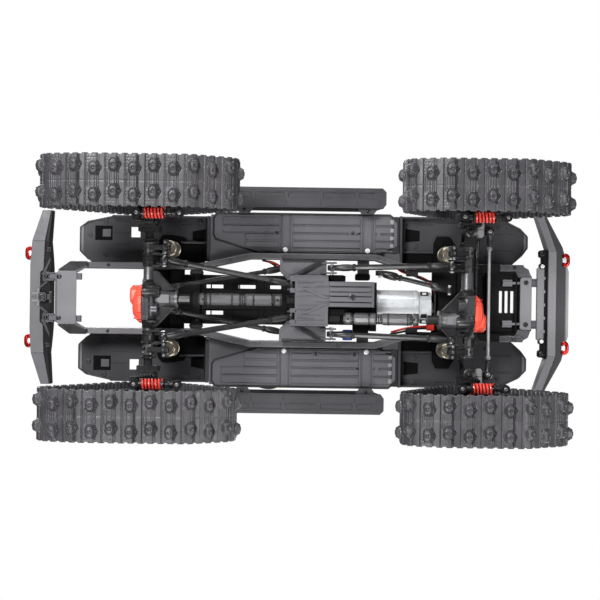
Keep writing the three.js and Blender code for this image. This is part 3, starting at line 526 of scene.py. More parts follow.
def finished(piece, bevel, angle):
    """Rounds a piece's sharp edges."""
    if bevel:
        rounding = piece.modifiers.new("rounding", "BEVEL")
        rounding.width = bevel * MM
        rounding.segments = 2
        rounding.limit_method = "ANGLE"
        rounding.angle_limit = math.radians(angle)
        rounding.harden_normals = True
    return piece


def shown(name, data):
    """A new object in the scene."""
    thing = bpy.data.objects.new(name, data)
    bpy.context.scene.collection.objects.link(thing)
    return thing


def placed(name, mesh, look, angle):
    """A new object from a mesh, smooth but for its sharp edges."""
    mesh.validate()
    mesh.materials.append(look)
    mesh.shade_smooth()
    mesh.set_sharp_from_angle(angle=math.radians(angle))
    thing = shown(name, mesh)
    return thing


def piece(name, shape, look, body="chassis", slot="black_plastic", bevel=0.25, angle=35, side="left"):
    """A new piece of the object, from a shape drawn for the left side, riding on a body unless that is None."""
    points, faces = flipped(shape) if side == "right" else joined(shape)
    mesh = bpy.data.meshes.new(name)
    mesh.from_pydata([tuple(c * MM for c in p) for p in points], [], faces)
    thing = finished(placed(name, mesh, look, angle), bevel, angle)
    if body:
        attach(thing, body)
    return thing


def panel_piece(name, shape, look, bevel=0.25, side="left", slot="panel_plastic"):
    """A piece on the chassis, in the look it is given."""
    return piece(name, shape, look, slot=slot, bevel=bevel, side=side)


def bumper_piece(name, shape, look, bevel):
    """A piece on the chassis, in the look it is given."""
    return piece(name, shape, look, slot="bumper_plastic", bevel=bevel)


def steel_piece(name, shape, body="chassis", look=STEEL, bevel=0, side="left"):
    """A plated steel piece."""
    return piece(name, shape, look, body, "motor_steel", bevel, side=side)


def screws(name, places, radius=2.0, way=DOWN, body="chassis", side="left"):
    """Blackened screws as one piece."""
    return piece(name, [screw(place, way, radius) for place in places], SCREW, body, bevel=0, side=side)


def dress_cad_node(node, look, bevel):
    """Gives a CAD node its material and rounds its edges, once its split corners are welded."""
    node.data.materials.clear()
    node.data.materials.append(look)
    weld = node.modifiers.new("weld", "WELD")
    weld.merge_threshold = 0.00001
    flatten = node.modifiers.new("flatten", "DECIMATE")
    flatten.decimate_type = "DISSOLVE"
    flatten.angle_limit = math.radians(1.5)
    finished(node, bevel, 38)


def dress_cad_nodes():
    """Gives every CAD node its look and the rounding that suits its size."""
    slots = {part["node"]: part["material_slot"] for part in frame["record"]["subparts"]}
    for name, node in frame["nodes"].items():
        large = any(word in name for word in ("bumper", "slider", "fender", "pan"))
        look = next((own for word, own in OWN_LOOKS.items() if word in name), LOOKS[slots[name]])
        dress_cad_node(node, look, 2.0 if "frame_rail" in name else 0.6 if large else 0.35)


# ---------------------------------------------------------------- belts

def belt_wheels(end, side):
    """The wheels inside a belt as (x, z, radius), anticlockwise from the rear idler."""
    def wheel(node):
        centre = mid(node)
        low, high = span(node, 0)
        return centre.x, centre.z, (high - low) / 2 + WHEEL_CLEARANCE
    rollers = [(AXLE_X[end] + x, ROLLER_Z, ROLLER_RADIUS) for x in ROLLERS[end]]
    sprocket = wheel(f"{end}_{side}_sprocket")
    return [wheel(f"{end}_{side}_rear_idler"), rollers[0], rollers[-1], wheel(f"{end}_{side}_front_idler"),
            sprocket]


def loop_segments(wheels, distance):
    """The arcs and straights of a belt line: (length, centre, start angle, radius) or (length, start, normal)."""
    leaving = []
    for (x0, z0, r0), (x1, z1, r1) in zip(wheels, wheels[1:] + wheels[:1]):
        reach = math.hypot(x1 - x0, z1 - z0)
        leaving.append(math.atan2(z1 - z0, x1 - x0) - math.acos((r0 - r1) / reach))
    segments = []
    for i, (x, z, r) in enumerate(wheels):
        radius = r + distance
        turn = (leaving[i] - leaving[i - 1]) % (2 * math.pi)
        segments.append((turn * radius, (x, z), leaving[i - 1], radius))
        normal = np.array([math.cos(leaving[i]), math.sin(leaving[i])])
        start = np.array([x, z]) + radius * normal
        x1, z1, r1 = wheels[(i + 1) % len(wheels)]
        straight = np.linalg.norm(np.array([x1, z1]) + (r1 + distance) * normal - start)
        segments.append((straight, start, normal, None))
    return segments


def along_loop(segments, s):
    """Points and outward normals at distances s along a belt line."""
    points = np.zeros((len(s), 2))
    normals = np.zeros((len(s), 2))
    start = 0.0
    for length, place, way, radius in segments:
        inside = (s >= start) & (s <= start + length)
        run = s[inside] - start
        if radius is None:
            tangent = np.array([-way[1], way[0]])
            points[inside] = place + run[:, None] * tangent
            normals[inside] = way
        else:
            angle = way + run / radius
            facing = np.stack([np.cos(angle), np.sin(angle)], 1)
            points[inside] = np.array(place) + radius * facing
            normals[inside] = facing
        start += length
    return points, normals


def ramp(value, low, high):
    """0 below low and 1 above high, smooth between."""
    t = np.clip((value - low) / (high - low), 0, 1)
    return t * t * (3 - 2 * t)


def tread_height(s, w, pitch):
    """How far the tread stands above the belt's skin at a distance along and across it."""
    index = np.floor(s / pitch)
    u = s - index * pitch
    shift = np.where(index % 2 == 0, 1.7, -1.7)
    lug_u = 8.2
    rows = [shift - 12.4, shift + 12.4]
    jog = sum(2.6 * np.exp(-((w - row) / 3.4) ** 2) for row in rows)
    edge = u - (11.6 + jog)
    pad = 0.9 * ramp(u, 0.6, 1.2) * (1 - ramp(edge, -0.7, -0.2))
    front_pad = 0.8 * ramp(edge, 1.3, 1.7)
    near_row = sum((np.abs(w - row) < 7.0) for row in rows)
    full = (index % 3 == 0) * (np.abs(w) < 23)
    rib = 1.9 * (1 - ramp(np.abs(edge - 0.5), 0.2, 0.7)) * np.maximum(near_row, full)
    height = np.maximum(np.maximum(pad, front_pad), rib)
    lines = ramp(np.abs((u / 2.35) % 1 - 0.5), 0.36, 0.46)
    height -= 0.4 * lines * (1 - ramp(np.abs(w), 6.6, 7.6)) * (1 - ramp(edge, -1.6, -1.0))
    height -= 0.25 * (1 - ramp(np.abs(w - 0.8), 0.2, 0.9)) * (rib < 0.2)
    cell_w = np.abs(w) / 2.9
    row_index = np.floor(cell_w)
    cell_u = (u / 2.9 + 0.5 * (row_index % 2)) % 1 - 0.5
    pebble = np.hypot(cell_u * 2.9, (cell_w % 1 - 0.5) * 2.9)
    shoulder = ramp(np.abs(w), 8.6, 8.9) * (1 - ramp(edge, -1.8, -1.4))
    height += 0.16 * (1 - ramp(pebble, 0.9, 1.35)) * shoulder
    for row in rows:
        du, dw = np.abs(u - lug_u), np.abs(w - row)
        size = np.maximum(np.maximum(du / 5.0, dw / 7.4), (du / 5.0 + dw / 7.4) / 1.5)
        body = 5.3 * np.clip((1 - size) / 0.42, 0, 1)
        radius = np.hypot(u - lug_u, w - row)
        stud = 0.7 * np.clip((2.5 - radius) / 0.4, 0, 1) - 1.5 * np.clip((1.5 - radius) / 0.4, 0, 1)
        height = np.maximum(height, body) + np.where(size < 0.58, stud, 0)
    return np.clip(height, 0, LUG_HEIGHT)


def belt_mesh(end, side):
    """One belt as a closed skin: the tread outside, smooth edges, and a ribbed inside."""
    segments = loop_segments(belt_wheels(end, side), BELT_THICKNESS)
    total = sum(segment[0] for segment in segments)
    count = round(total / LUG_PITCH)
    pitch = total / count
    steps = count * BELT_STEPS
    s = np.arange(steps) * (total / steps)
    points, normals = along_loop(segments, s)
    columns = BELT_COLUMNS
    w = np.linspace(-1, 1, columns + 1)
    bumps = ramp(np.abs((s / pitch * 2) % 1 - 0.5), 0.12, 0.24)
    half = BELT_HALF - 1.1 * (1 - bumps)
    grid_s = np.repeat(s[:, None], columns + 1, 1)
    grid_w = w[None, :] * half[:, None]
    height = tread_height(grid_s, grid_w, pitch)
    height *= 1 - ramp(np.abs(w), 0.97, 1.0)[None, :] * 0.6
    ribs = 0.5 * ramp(np.abs((s / pitch * 4) % 1 - 0.5), 0.2, 0.3)
    inside = np.array([-0.97, -0.5, 0.5, 0.97])
    rows = ((1.0, -1.2), (0.985, -2.6))
    across_count = columns + 1 + 2 + len(inside) + 2
    vertices = np.zeros((steps, across_count, 3))

    def put(column, lateral, rise):
        spot = points + normals * rise[:, None]
        vertices[:, column, 0] = spot[:, 0]
        vertices[:, column, 1] = SIDES[side] * TRACK_Y + lateral
        vertices[:, column, 2] = spot[:, 1]

    for c in range(columns + 1):
        put(c, grid_w[:, c], height[:, c])
    column = columns + 1
    for value, depth in rows:
        put(column, half * value, np.full(steps, depth))
        column += 1
    for value in inside[::-1]:
        put(column, BELT_HALF * 0.96 * value, -BELT_THICKNESS + 0.05 + 0.9 * ribs)
        column += 1
    for value, depth in rows[::-1]:
        put(column, -half * value, np.full(steps, depth))
        column += 1
    index = np.arange(steps * across_count).reshape(steps, across_count)
    a, b = index, np.roll(index, -1, 0)
    c, d = np.roll(b, -1, 1), np.roll(a, -1, 1)
    faces = np.stack([a, b, c, d], 2).reshape(-1, 4)
    return vertices.reshape(-1, 3), faces


def belt(end, side):
    """The detailed belt that stands for a CAD belt."""
    vertices, faces = belt_mesh(end, side)
    name = f"{end}_{side}_tread"
    mesh = bpy.data.meshes.new(name)
    mesh.from_pydata((vertices * MM).tolist(), [], faces.tolist())
    mesh.flip_normals()
    thing = placed(name, mesh, RUBBER, 50)
    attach(thing, f"{end}_{side}_track")
    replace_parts(thing, f"{end}_{side}_belt")


# ---------------------------------------------------------------- track units

def hub_body(end, side):
    """The body that carries a track unit."""
    return f"knuckle_{side}" if end == "front" else "rear_axle"


def track_damper(end, side):
    """A spring damper between the hub and the track frame."""
    name = f"{end}_{side}_damper"
    x0, x1 = span(name, 0)
    _, y, z = mid(name)
    start = x0 + SPRING_STARTS[end]
    stop = start + SPRING_LENGTH
    neck, tail = start - x0, x1 - stop
    pivots = [(x, y, z) for x in (x0 + DAMPER_EYE, x1 - DAMPER_EYE)]
    dark = [turned([(2.2, -3.8), (4.3, -3.8), (4.6, -3), (4.6, 3), (4.3, 3.8), (2.2, 3.8), (2.2, -3.8)], pivot,
                   UP, 20) for pivot in pivots]
    dark.append(turned([(2.4, 0), (3.3, 1), (3.3, neck - 8), (5.9, neck - 7.4), (5.9, neck - 5.4), (3.0, neck - 5),
                        (3.0, stop - x0 - 12)], (x0 + 7, y, z), AHEAD, 20))
    dark.append(turned([(1.4, 0), (5.6, 0.2), (5.6, 1.6), (2.6, 2.4), (2.6, 6), (3.6, 7), (3.6, tail - 6),
                        (1.4, tail - 5)], (stop + 0.3, y, z), AHEAD, 20))
    dark.append(block((x0 + 0.6, x0 + 8), around(y, 4.6), around(z, 1.2)))
    body = piece(f"{name}_body", dark, BLACK, None, bevel=0.15)
    bars = [rod((start - 4, y, z), (x1 - 8, y, z), 1.3), [screw((x, y, z - 3.8), DOWN, 2.1) for x, y, z in pivots]]
    shaft = piece(f"{name}_rod", bars, TIE_STEEL, None, bevel=0)
    coil = tube(helix((start, y, z), (stop, y, z), SPRING_RADIUS, 6.5, 22), SPRING_WIRE, 10)
    spring = piece(f"{name}_spring", coil, SPRING_RED, None, "red_steel", bevel=0)
    for thing in (body, shaft, spring):
        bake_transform(thing)
    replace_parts(spring, name)


def road_wheels(end, side):
    """Three twin road wheels inside the belt, on the frame's lower axles."""
    rim, width = ROLLER_RADIUS - 0.4, ROLLER_WIDTH
    half = [(3, 0.8), (4.6, 0), (5.4, 0), (5.8, 1.6), (rim - 2.4, 1.6), (rim - 1.6, 0), (rim - 0.5, 0), (rim, 0.6)]
    profile = half + [(r, width - d) for r, d in reversed(half)]
    near, far = IDLER_FACES
    wheels = [turned(profile, (AXLE_X[end] + x, y, ROLLER_Z), OUT, 28) for x in ROLLERS[end]
              for y in (near, far - width)]
    piece(f"{end}_{side}_road_wheels", wheels, BLACK, f"{end}_{side}_track", bevel=0, side=side)


def track_hardware(end, side):
    """Axle screws on the outer plate, spoked caps on the idlers and bolts on the sprocket."""
    x = AXLE_X[end]
    idlers = {name: mid(f"{end}_{side}_{name}") for name in ("rear_idler", "front_idler")}
    heads = [(centre.x, OUTER_PLATE, centre.z) for centre in idlers.values()]
    heads += [(x + shift, OUTER_PLATE, ROLLER_Z) for shift in ROLLERS[end]]
    heads += [(x + shift, OUTER_PLATE, WHEEL_Z - 9) for shift in (-11, 11)]
    screws(f"{end}_{side}_track_screws", heads, 2.8, OUT, f"{end}_{side}_track", side)
    for name, centre in idlers.items():
        caps = []
        for face, way in ((IDLER_FACES[1], OUT), (IDLER_FACES[0], -OUT)):
            start = Vector((centre.x, face, centre.z))
            caps.append(turned([(4.4, -0.3), (7, -0.3), (7, 0.7), (6.4, 1.1), (4.9, 1.1), (4.4, 0.7)], start, way,
                               28))
            caps.append(turned([(14.2, -0.3), (15.8, -0.3), (15.8, 0.6), (15.2, 0.9), (14.8, 0.9), (14.2, 0.6)],
                               start, way, 36))
            for i in range(6):
                angle = math.radians(60 * i)
                spoke = Vector((math.cos(angle), 0, math.sin(angle)))
                caps.append(rod(start + spoke * 6.6, start + spoke * 14.6, 1.1, 8))
        piece(f"{end}_{side}_{name}_spokes", caps, BLACK, f"{end}_{side}_{name}", bevel=0, side=side)
    hub = Vector((x, SPROCKET_FACE, WHEEL_Z))
    bolts = [turned([(9, -0.5), (12.5, -0.5), (12.5, 1.2), (11, 2.2), (9, 2.2)], hub, OUT, 32)]
    for i in range(6):
        angle = math.radians(60 * i + 30)
        bolts.append(screw(hub + Vector((math.cos(angle), 0, math.sin(angle))) * BOLT_CIRCLE, OUT, 2.2))
    piece(f"{end}_{side}_sprocket_bolts", bolts, SCREW, f"{end}_{side}_sprocket", bevel=0, side=side)


def frame_ribs(end, side):
    """A raised rib round each side plate of a track frame."""
    wheels = belt_wheels(end, side)
    corners = [Vector((x, 0, z)) for x, z, _ in wheels]
    corners[-1].z -= 8
    ribs = []
    for a, b in zip(corners, corners[1:] + corners[:1]):
        along = (b - a).normalized() * 4.5
        for y in (OUTER_PLATE + 0.1, FRAME_INNER_FACE + 0.6):
            ribs.append(rod(a + along + OUT * y, b - along + OUT * y, 1.0, 8))
    piece(f"{end}_{side}_frame_ribs", ribs, BLACK, f"{end}_{side}_track", bevel=0, side=side)


# ---------------------------------------------------------------- links and shafts

def link_hardware(name, side):
    """Rod ends with hexagonal shanks at both ends of a link, each with a plated ball and its screws."""
    body = f"{name}_{side}"
    chassis, axle, radius = LINKS[name]
    ends = [Vector(chassis), Vector(axle)]
    shanks, balls = [], []
    for near, far in (ends, ends[::-1]):
        along = (far - near).normalized()
        shanks.append(turned([(2.4, 3.2), (3.0, 4.4), (3.2, 8), (3.6, 11), (3.6, 17), (3.2, 19.5),
                              (radius + 0.2, 21)], near, along, 16))
        shanks.append(hexagon(near + along * 21, along, radius + 0.9, 3.4))
        shanks.append(turned([(3.2, -2.9), (4.6, -2.7), (4.9, -1.8), (4.9, 1.8), (4.6, 2.7), (3.2, 2.9),
                              (3.2, -2.9)], near, OUT, 24))
        balls += [ball(near, OUT, 3.3), rod(near - OUT * 4.3, near + OUT * 4.3, 1.7, 14)]
        balls += [screw(near + way * 6.0, way, 2.3) for way in (-OUT, OUT)]
    piece(f"{body}_rod_ends", shanks, BLACK, body, bevel=0.15, side=side)
    steel_piece(f"{body}_balls", balls, body, side=side)


def driveshaft_hardware(name):
    """Joint pins, ring yokes, clamp bands and the pleated boot of a telescoping shaft."""
    low, high = (Vector(corner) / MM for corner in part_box(name))
    y, r = (low.y + high.y) / 2, (high.y - low.y) / 2
    near_x, far_x = (high.x, low.x) if name == "rear_driveshaft" else (low.x, high.x)
    near, far = Vector((near_x, y, high.z - r)), Vector((far_x, y, low.z + r))
    along, length = (far - near).normalized(), (far - near).length
    u, v = basis(along)
    joint = r - 0.3
    pins, dark = [], []
    for distance in (4, length - 4):
        centre = near + along * distance
        pins += [rod(centre - w * (joint + 0.5), centre + w * (joint + 0.5), 1.4, 12) for w in (u, v)]
        dark += [turned([(joint - 1.2, -1.1), (joint + 0.3, -1.1), (joint + 0.3, 1.1), (joint - 1.2, 1.1)],
                        centre + along * d, along, 28) for d in (-3.4, 3.4)]
    for shift in (-2.2, 0, 2.2):
        dark.append(turned([(r - 1.4, -0.8), (r - 0.5, 0), (r - 1.4, 0.8)], near + along * (length * 0.47 + shift),
                           along, 24))
    for share in (0.34, 0.6, 0.86):
        dark.append(turned([(r - 0.6, -1.2), (r + 0.15, -0.9), (r + 0.15, 0.9), (r - 0.6, 1.2)],
                           near + along * (length * share), along, 28))
    piece(f"{name}_joints", dark, BLACK, name, bevel=0.1)
    piece(f"{name}_pins", pins, SCREW, name, bevel=0)


# ---------------------------------------------------------------- axles and steering

def inward(end):
    """The way along X from an axle to the middle of the chassis."""
    return 1 if end == "rear" else -1


def cover_size(end):
    """A differential cover's middle along Y, and half its width and height."""
    (y0, y1), (z0, z1) = span(f"{end}_diff_cover", 1), span(f"{end}_diff_cover", 2)
    return (y0 + y1) / 2, (y1 - y0) / 2, (z1 - z0) / 2


def eighths():
    """Eight angles round a circle, between its quarters."""
    return [math.radians(22.5 + 45 * i) for i in range(8)]


def axle_shell(end):
    """The smooth castings of an axle: the drum round the gears, its bosses, the pinion snout and the tubes."""
    axle, way, x = f"{end}_axle", inward(end), AXLE_X[end]
    low, high = span(f"{end}_diff_cover", 1)
    near, far = low - 5, high + 4.6
    length = far - near
    profile = [(0.1, -0.2), (8.2, -0.2), (11.5, 1.6), (14.8, 5.2), (16.6, 10.5), (16.9, 14), (16.9, length - 14),
               (15.6, length - 9), (12.4, length - 3), (8.3, length + 0.2), (0.1, length + 0.2)]
    points, faces = turned(profile, (0, near, AXLE_Z), OUT, 56)
    drum = [(x + way * max(-CASE_FACE - 0.1, CASE_WIDTH * px * way), py, min(pz, AXLE_Z + 9.0))
            for px, py, pz in points]
    band_y = CASE_BAND_Y[end]
    band = [chamfered((x - way * CASE_FACE, x + way * 2.2), band_y, (AXLE_Z - 18.4, AXLE_Z - 4), 1.2)]
    for y in (band_y[0] + 3, band_y[1] - 3):
        band.append(block((x - way * 5.4, x + way * 2.4), around(y, 0.6), (AXLE_Z - 18.9, AXLE_Z - 16)))
    band.append(block((x - way * 1.9, x - way * 1.1), band_y, (AXLE_Z - 18.8, AXLE_Z - 16)))
    band.append(turned([(0.1, 0), (6.4, 0), (6.4, 6.4), (5.6, 7.4), (0.1, 7.4)],
                       (x + way * 3.5, sum(band_y) / 2, AXLE_Z - 10), AHEAD * way, 40))
    barrel = (x - way * 5.3, CASE_BARREL_Y[end], AXLE_Z - 10.8)
    rounds = [turned([(0.1, 0), (6.0, 0), (6.8, 0.9), (6.8, 15), (5.4, 18), (0.1, 18)], barrel, AHEAD * way, 44),
              turned([(6.3, 2.2), (7.3, 2.6), (7.3, 4.0), (6.3, 4.4)], barrel, AHEAD * way, 44)]
    piece(f"{axle}_drum", (drum, faces), BLACK, axle, bevel=0.3, angle=32)
    piece(f"{axle}_band", band, SATIN, axle, bevel=0.3, angle=32)
    piece(f"{axle}_barrel", rounds, BLACK, axle, bevel=0, angle=32)
    shapes = [turned([(13.4, 2), (12.4, 8), (10.8, 15), (9.4, 21), (8.4, 25), (8.3, 26.5), (9.6, 27.2), (9.6, 29.6),
                      (8.7, 30.2), (5.4, 30.2)], (x, SNOUT_Y[end], AXLE_Z), AHEAD * way, 48)]
    wide = TUBE_RADIUS[end]
    for edge, out in ((low - 3, -OUT), (high + 3, OUT)):
        reach = TUBE_END - abs(edge)
        shapes.append(turned([(wide + 1.4, 0), (wide + 0.6, 2.6), (wide, 4.4), (wide, reach - 3),
                              (wide + 1, reach - 2), (wide + 1, reach)], (x, edge, AXLE_Z), out, 40))
    piece(f"{axle}_casting", shapes, TUBE, axle, bevel=0, angle=32)


def cover_flange(end):
    """The oval flange that a differential cover is screwed to, and its cap screws."""
    axle, way = f"{end}_axle", inward(end)
    face = AXLE_X[end] - way * CASE_FACE
    middle, half, z_half = cover_size(end)

    def oval(grow, at):
        return [(at, middle + (half + grow) * math.cos(a), AXLE_Z + (z_half + grow) * math.sin(a))
                for a in (2 * math.pi * i / 40 for i in range(40))]

    rings = [oval(-1.5, face + way * 7), oval(0.9, face + way * 6), oval(0.9, face), oval(-1.5, face - 0.2 * way)]
    heads = [(face - way * 3.4, middle + (half - 2.6) * math.cos(a), AXLE_Z + (z_half - 2.6) * math.sin(a))
             for a in eighths()]
    screws(f"{axle}_cover_screws", heads, 1.7, -AHEAD * way, axle)
    return lofted(rings[::-1] if way > 0 else rings)


def axle_details(end):
    """Ribs, flats, webs and brackets moulded on an axle housing."""
    axle, way, x, y = f"{end}_axle", inward(end), AXLE_X[end], SNOUT_Y[end]
    low, high = span(f"{end}_diff_cover", 1)
    shapes, webs = [cover_flange(end)], []
    for rib_y in (low + 2, (low + high) / 2, high - 2):
        shapes.append(prism([(x + way * 1, AXLE_Z - 17.9), (x + way * 8, AXLE_Z - 15), (x + way * 12.6, AXLE_Z - 9),
                             (x + way * 12.6, AXLE_Z - 4), (x, AXLE_Z - 4)], "y", *around(rib_y, 1)))
    # The snout pad is light grey: a painted highlight on the flat of the pinion snout.
    pad = [(9.5, -2.2), (12.5, -4.2), (22, -4.2), (22, 4.2), (12.5, 4.2), (9.5, 2.2)]
    piece(f"{axle}_snout_highlight_pad", upright([(x + way * a, y + b) for a, b in pad], AXLE_Z - 12.6, AXLE_Z - 8),
          LIGHT_GREY_AND_PAINTED_LIGHT, axle, bevel=0.4)
    for s in (-1, 1):
        web = [(x + way * a, y + s * b) for a, b in ((6, 7), (27, 9), (9, 28), (5, 28))]
        webs += [upright(web, AXLE_Z - 8.4, AXLE_Z - 6.4),
                 rod((*web[1], AXLE_Z - 8.2), (*web[2], AXLE_Z - 8.2), 0.9, 10)]
    for bush_y in (36.5, 45, 60):
        shapes += twice(turned([(5.0, 0), (7.4, 0.3), (7.4, 1.9), (5.0, 2.2)], (x, bush_y - 1, AXLE_Z), OUT, 28))
    for bracket_y in ((31.6, 33.6), (44.5, 46.5)):
        shapes += twice(block((x + way * 4, x + way * 12), bracket_y, (AXLE_Z - 11, AXLE_Z - 4)))
    piece(f"{axle}_ribs", shapes, BLACK, axle)
    piece(f"{axle}_gussets", webs, BLACK, axle)
    places = [(x + way * a, s * b, AXLE_Z - c) for s in (-1, 1) for a, b, c in ((9, 58, 6.5), (-4, 50, 6.0))]
    screws(f"{axle}_screws", places, 1.5, DOWN, axle)


def cover_details(end):
    """Ribs and bosses cast on a differential cover."""
    out = -inward(end)
    face, tip = span(f"{end}_diff_cover", 0)[::out]
    depth = abs(tip - face)
    middle, half, z_half = cover_size(end)
    shapes = []
    for i in range(-3, 4):
        reach = out * depth * (0.86 - 0.045 * abs(i))
        rise = z_half * (0.86 - 0.06 * abs(i))
        upper = [(0, rise), (reach * 0.55, rise * 0.9), (reach, rise * 0.35)]
        outline = [(face + a, AXLE_Z - b) for a, b in upper] + [(face + a, AXLE_Z + b) for a, b in upper[::-1]]
        shapes.append(prism(outline, "y", *around(middle + i * half / 4, 0.7)))
    for angle in eighths():
        spot = (face, middle + (half - 2.0) * math.cos(angle), AXLE_Z + (z_half - 2.0) * math.sin(angle))
        shapes.append(turned([(2.5, 0), (2.5, 3.0), (2.0, 3.6), (0.01, 3.6)], spot, AHEAD * out, 16))
    piece(f"{end}_cover_ribs", shapes, RED, f"{end}_axle", "red_plastic", bevel=0.3)


def hub_details(end, side):
    """The cap, screws and bosses of the drop gearcase at one wheel."""
    body, x = hub_body(end, side), AXLE_X[end]
    shapes = [
        chamfered(around(x, 8.5), (79.8, 84.6), (AXLE_Z - 26.5, AXLE_Z - 15), 2),
        turned([(8.8, 0), (9.6, 0.4), (9.6, 2.6), (7, 3.2), (6.4, 3.2)], (x, 79.2, AXLE_Z), -OUT, 28),
        block(around(x - 7.8, 1.8), (76, 80), (AXLE_Z - 16, AXLE_Z + 8)),
        block(around(x + 7.8, 1.8), (76, 80), (AXLE_Z - 16, AXLE_Z + 8)),
        block(around(x, 6), (76, 79.5), (AXLE_Z - 19, AXLE_Z - 15)),
    ]
    piece(f"{end}_{side}_hub_case", shapes, BLACK, body, bevel=0.3, side=side)
    places = [(x + a, b, AXLE_Z - c) for a, b, c in ((-7.8, 78, 16), (7.8, 78, 16), (-4.5, 82.2, 26.5),
                                                     (4.5, 82.2, 26.5), (0, 77.6, 19))]
    screws(f"{end}_{side}_hub_screws", places, 1.6, DOWN, body, side)


def steering_details():
    """Capped steering arms, the tie rod with its hexagonal adjusters, and the panhard rod."""
    x = AXLE_X["front"]
    rod_x, rod_z = mid("tie_rod").x - 1.8, flat("tie_rod") + 2.6
    cap = [(5.5, 82), (14, 82), (14, 68), (12.2, 66), (7.3, 66), (5.5, 68)]
    badge = [(6.2, 74), (13.3, 74), (13.3, 68.6), (11.6, 67), (7.9, 67), (6.2, 68.6)]
    web = [(-6.5, 61), (6.5, 61), (5, 69), (-5, 69)]
    cap, badge, web = ([(x + a, b) for a, b in outline] for outline in (cap, badge, web))
    caps = [upright(cap, rod_z - 1.0, rod_z + 4.5), upright(badge, rod_z - 2.0, rod_z - 0.9)]
    fork = [turned([(5.2, 0), (6.2, 0.5), (6.2, 2.4), (4.2, 3.2)], (x, KINGPIN_Y, AXLE_Z - 18), DOWN, 24),
            upright(web, AXLE_Z - 19, AXLE_Z - 17.8)]
    for side in SIDES:
        body = f"knuckle_{side}"
        piece(f"steering_cap_{side}", caps, CAP_GREY_AND_HIGHLIGHT, body, "bumper_plastic", 0.6, side=side)
        screws(f"steering_cap_screw_{side}", [(x + 9.8, 79, rod_z - 1.0)], 2.4, DOWN, body, side)
        piece(f"steering_fork_{side}", fork, BLACK, "front_axle", bevel=0.3, side=side)
        screws(f"kingpin_screw_{side}", [(x, KINGPIN_Y, AXLE_Z - 21)], 2.2, DOWN, "front_axle", side)
    end = Vector((rod_x, KINGPIN_Y, rod_z))
    shafts = [rod((rod_x, -70, rod_z), (rod_x, 70, rod_z), 1.55)]
    shafts += twice(hexagon(end - OUT * 15.5, -OUT, 2.7, 3.4), screw(end + DOWN * 3.2, DOWN, 2.2))
    cups = twice(turned([(1.8, 0), (2.8, 1), (2.8, 10), (3.4, 12)], end - OUT * 15, OUT, 18),
                 turned([(1.6, -3.2), (3.6, -3.2), (4.2, -2.2), (4.2, 2), (3.6, 3)], end, UP, 24))
    bar = steel_piece("tie_rod_bar", shafts, "tie_rod", TIE_STEEL)
    piece("tie_rod_ends", cups, BLACK, "tie_rod", bevel=0.15)
    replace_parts(bar, "tie_rod")
    link_x, link_z = x + 9.5, AXLE_Z + 4
    shank = [(1.9, 0), (2.8, 2), (2.8, 12), (3.6, 15), (3.6, 19)]
    panhard = [rod((link_x, -62, link_z), (link_x - 1, 34, link_z + 2), 1.9),
               turned(shank, (link_x, -46, link_z), -OUT, 18), turned(shank, (link_x - 1, 22, link_z + 2), OUT, 18)]
    piece("panhard_rod", panhard, BLACK, "front_axle", bevel=0.15)


def front_upper_link():
    """The single upper link of the front axle, which stays with the chassis."""
    start, stop = FRONT_UPPER_LINK
    along = (stop - start).normalized()
    shapes = [rod(start, stop, 2.4), hexagon(start + along * 20, along, 3.4, 3.4)]
    for near, way in ((start, along), (stop, -along)):
        shapes.append(turned([(2.8, 3), (3.8, 5), (4.4, 12), (4.2, 17), (2.6, 20)], near, way, 16))
        shapes.append(turned([(2.4, -2.8), (4.8, -2.6), (4.8, 2.6), (2.4, 2.8), (2.4, -2.8)], near, OUT, 22))
    piece("front_upper_link", shapes, BLACK, bevel=0.15)
    steel_piece("front_upper_link_pins", [rod(p - OUT * 5, p + OUT * 5, 1.8, 14) for p in (start, stop)])


def shock(end, side):
    """A bronze shock body with its threaded sleeve on the frame, and its rod, eye and bolts on the axle."""
    axle, name, z = f"{end}_axle", f"{end}_{side}_shock", SHOCK_FOOT_Z
    x, y = SHOCK_PLACES[end]
    low = flat(f"{end}_shock_tower")
    body = [(2.2, 0.6), (2.2, -0.9), (4.4, -0.9), (4.8, -0.3), (6.2, -0.5), (7.4, 0.2), (8.5, 2.4), (8.6, 9),
            (8.2, 9.4)]
    for i in range(8):
        body += [(8.1, 9.8 + 1.6 * i), (8.5, 10.4 + 1.6 * i), (8.1, 11.0 + 1.6 * i)]
    body += [(8.1, 23.4), (8.8, 23.8), (8.8, 28.4), (8.0, 29), (8.0, 36), (5, 37)]
    piece(f"{name}_body", turned(body, (x, y, low), UP, 40), BRONZE, slot="shock_bronze", bevel=0, side=side)
    rods = [rod((x, y, z), (x, y, low + 10), 1.75), ball((x, y, z - 2), OUT, 2.7)]
    steel_piece(f"{name}_rod", rods, axle, side=side)
    back = x - inward(end) * 1.8
    cheek_x = (min(x, back) - 1, max(x, back) + 1)
    eye = [turned([(1.8, 0), (2.8, 0.4), (3.2, 1.8), (3.2, 2.8), (2.0, 4)], (x, y, z + 1), UP, 20),
           turned([(2.6, -2.6), (4.0, -2.2), (4.0, 2.2), (2.6, 2.6), (2.6, -2.6)], (x, y, z - 2), OUT, 24),
           chamfered(cheek_x, (y - 5.4, y - 3.2), (z - 5, z + 1), 0.6),
           chamfered(cheek_x, (y + 3.2, y + 5.4), (z - 5, z + 1), 0.6),
           chamfered(around(back, 2), around(y, 7.6), (z - 4.6, z - 1), 0.7)]
    bolts = [screw((back, y + shift, z - 4.6), DOWN, 1.6) for shift in (-5.4, 0, 5.4)]
    steel_piece(f"{name}_bolts", bolts, axle, TIE_STEEL, side=side)
    piece(f"{name}_eye", eye, BLACK, axle, bevel=0.2, side=side)
    screws(f"{name}_screw", [(x, y + 6.2, z - 2)], 2.1, OUT, axle, side)


# ---------------------------------------------------------------- floor, skid and drive

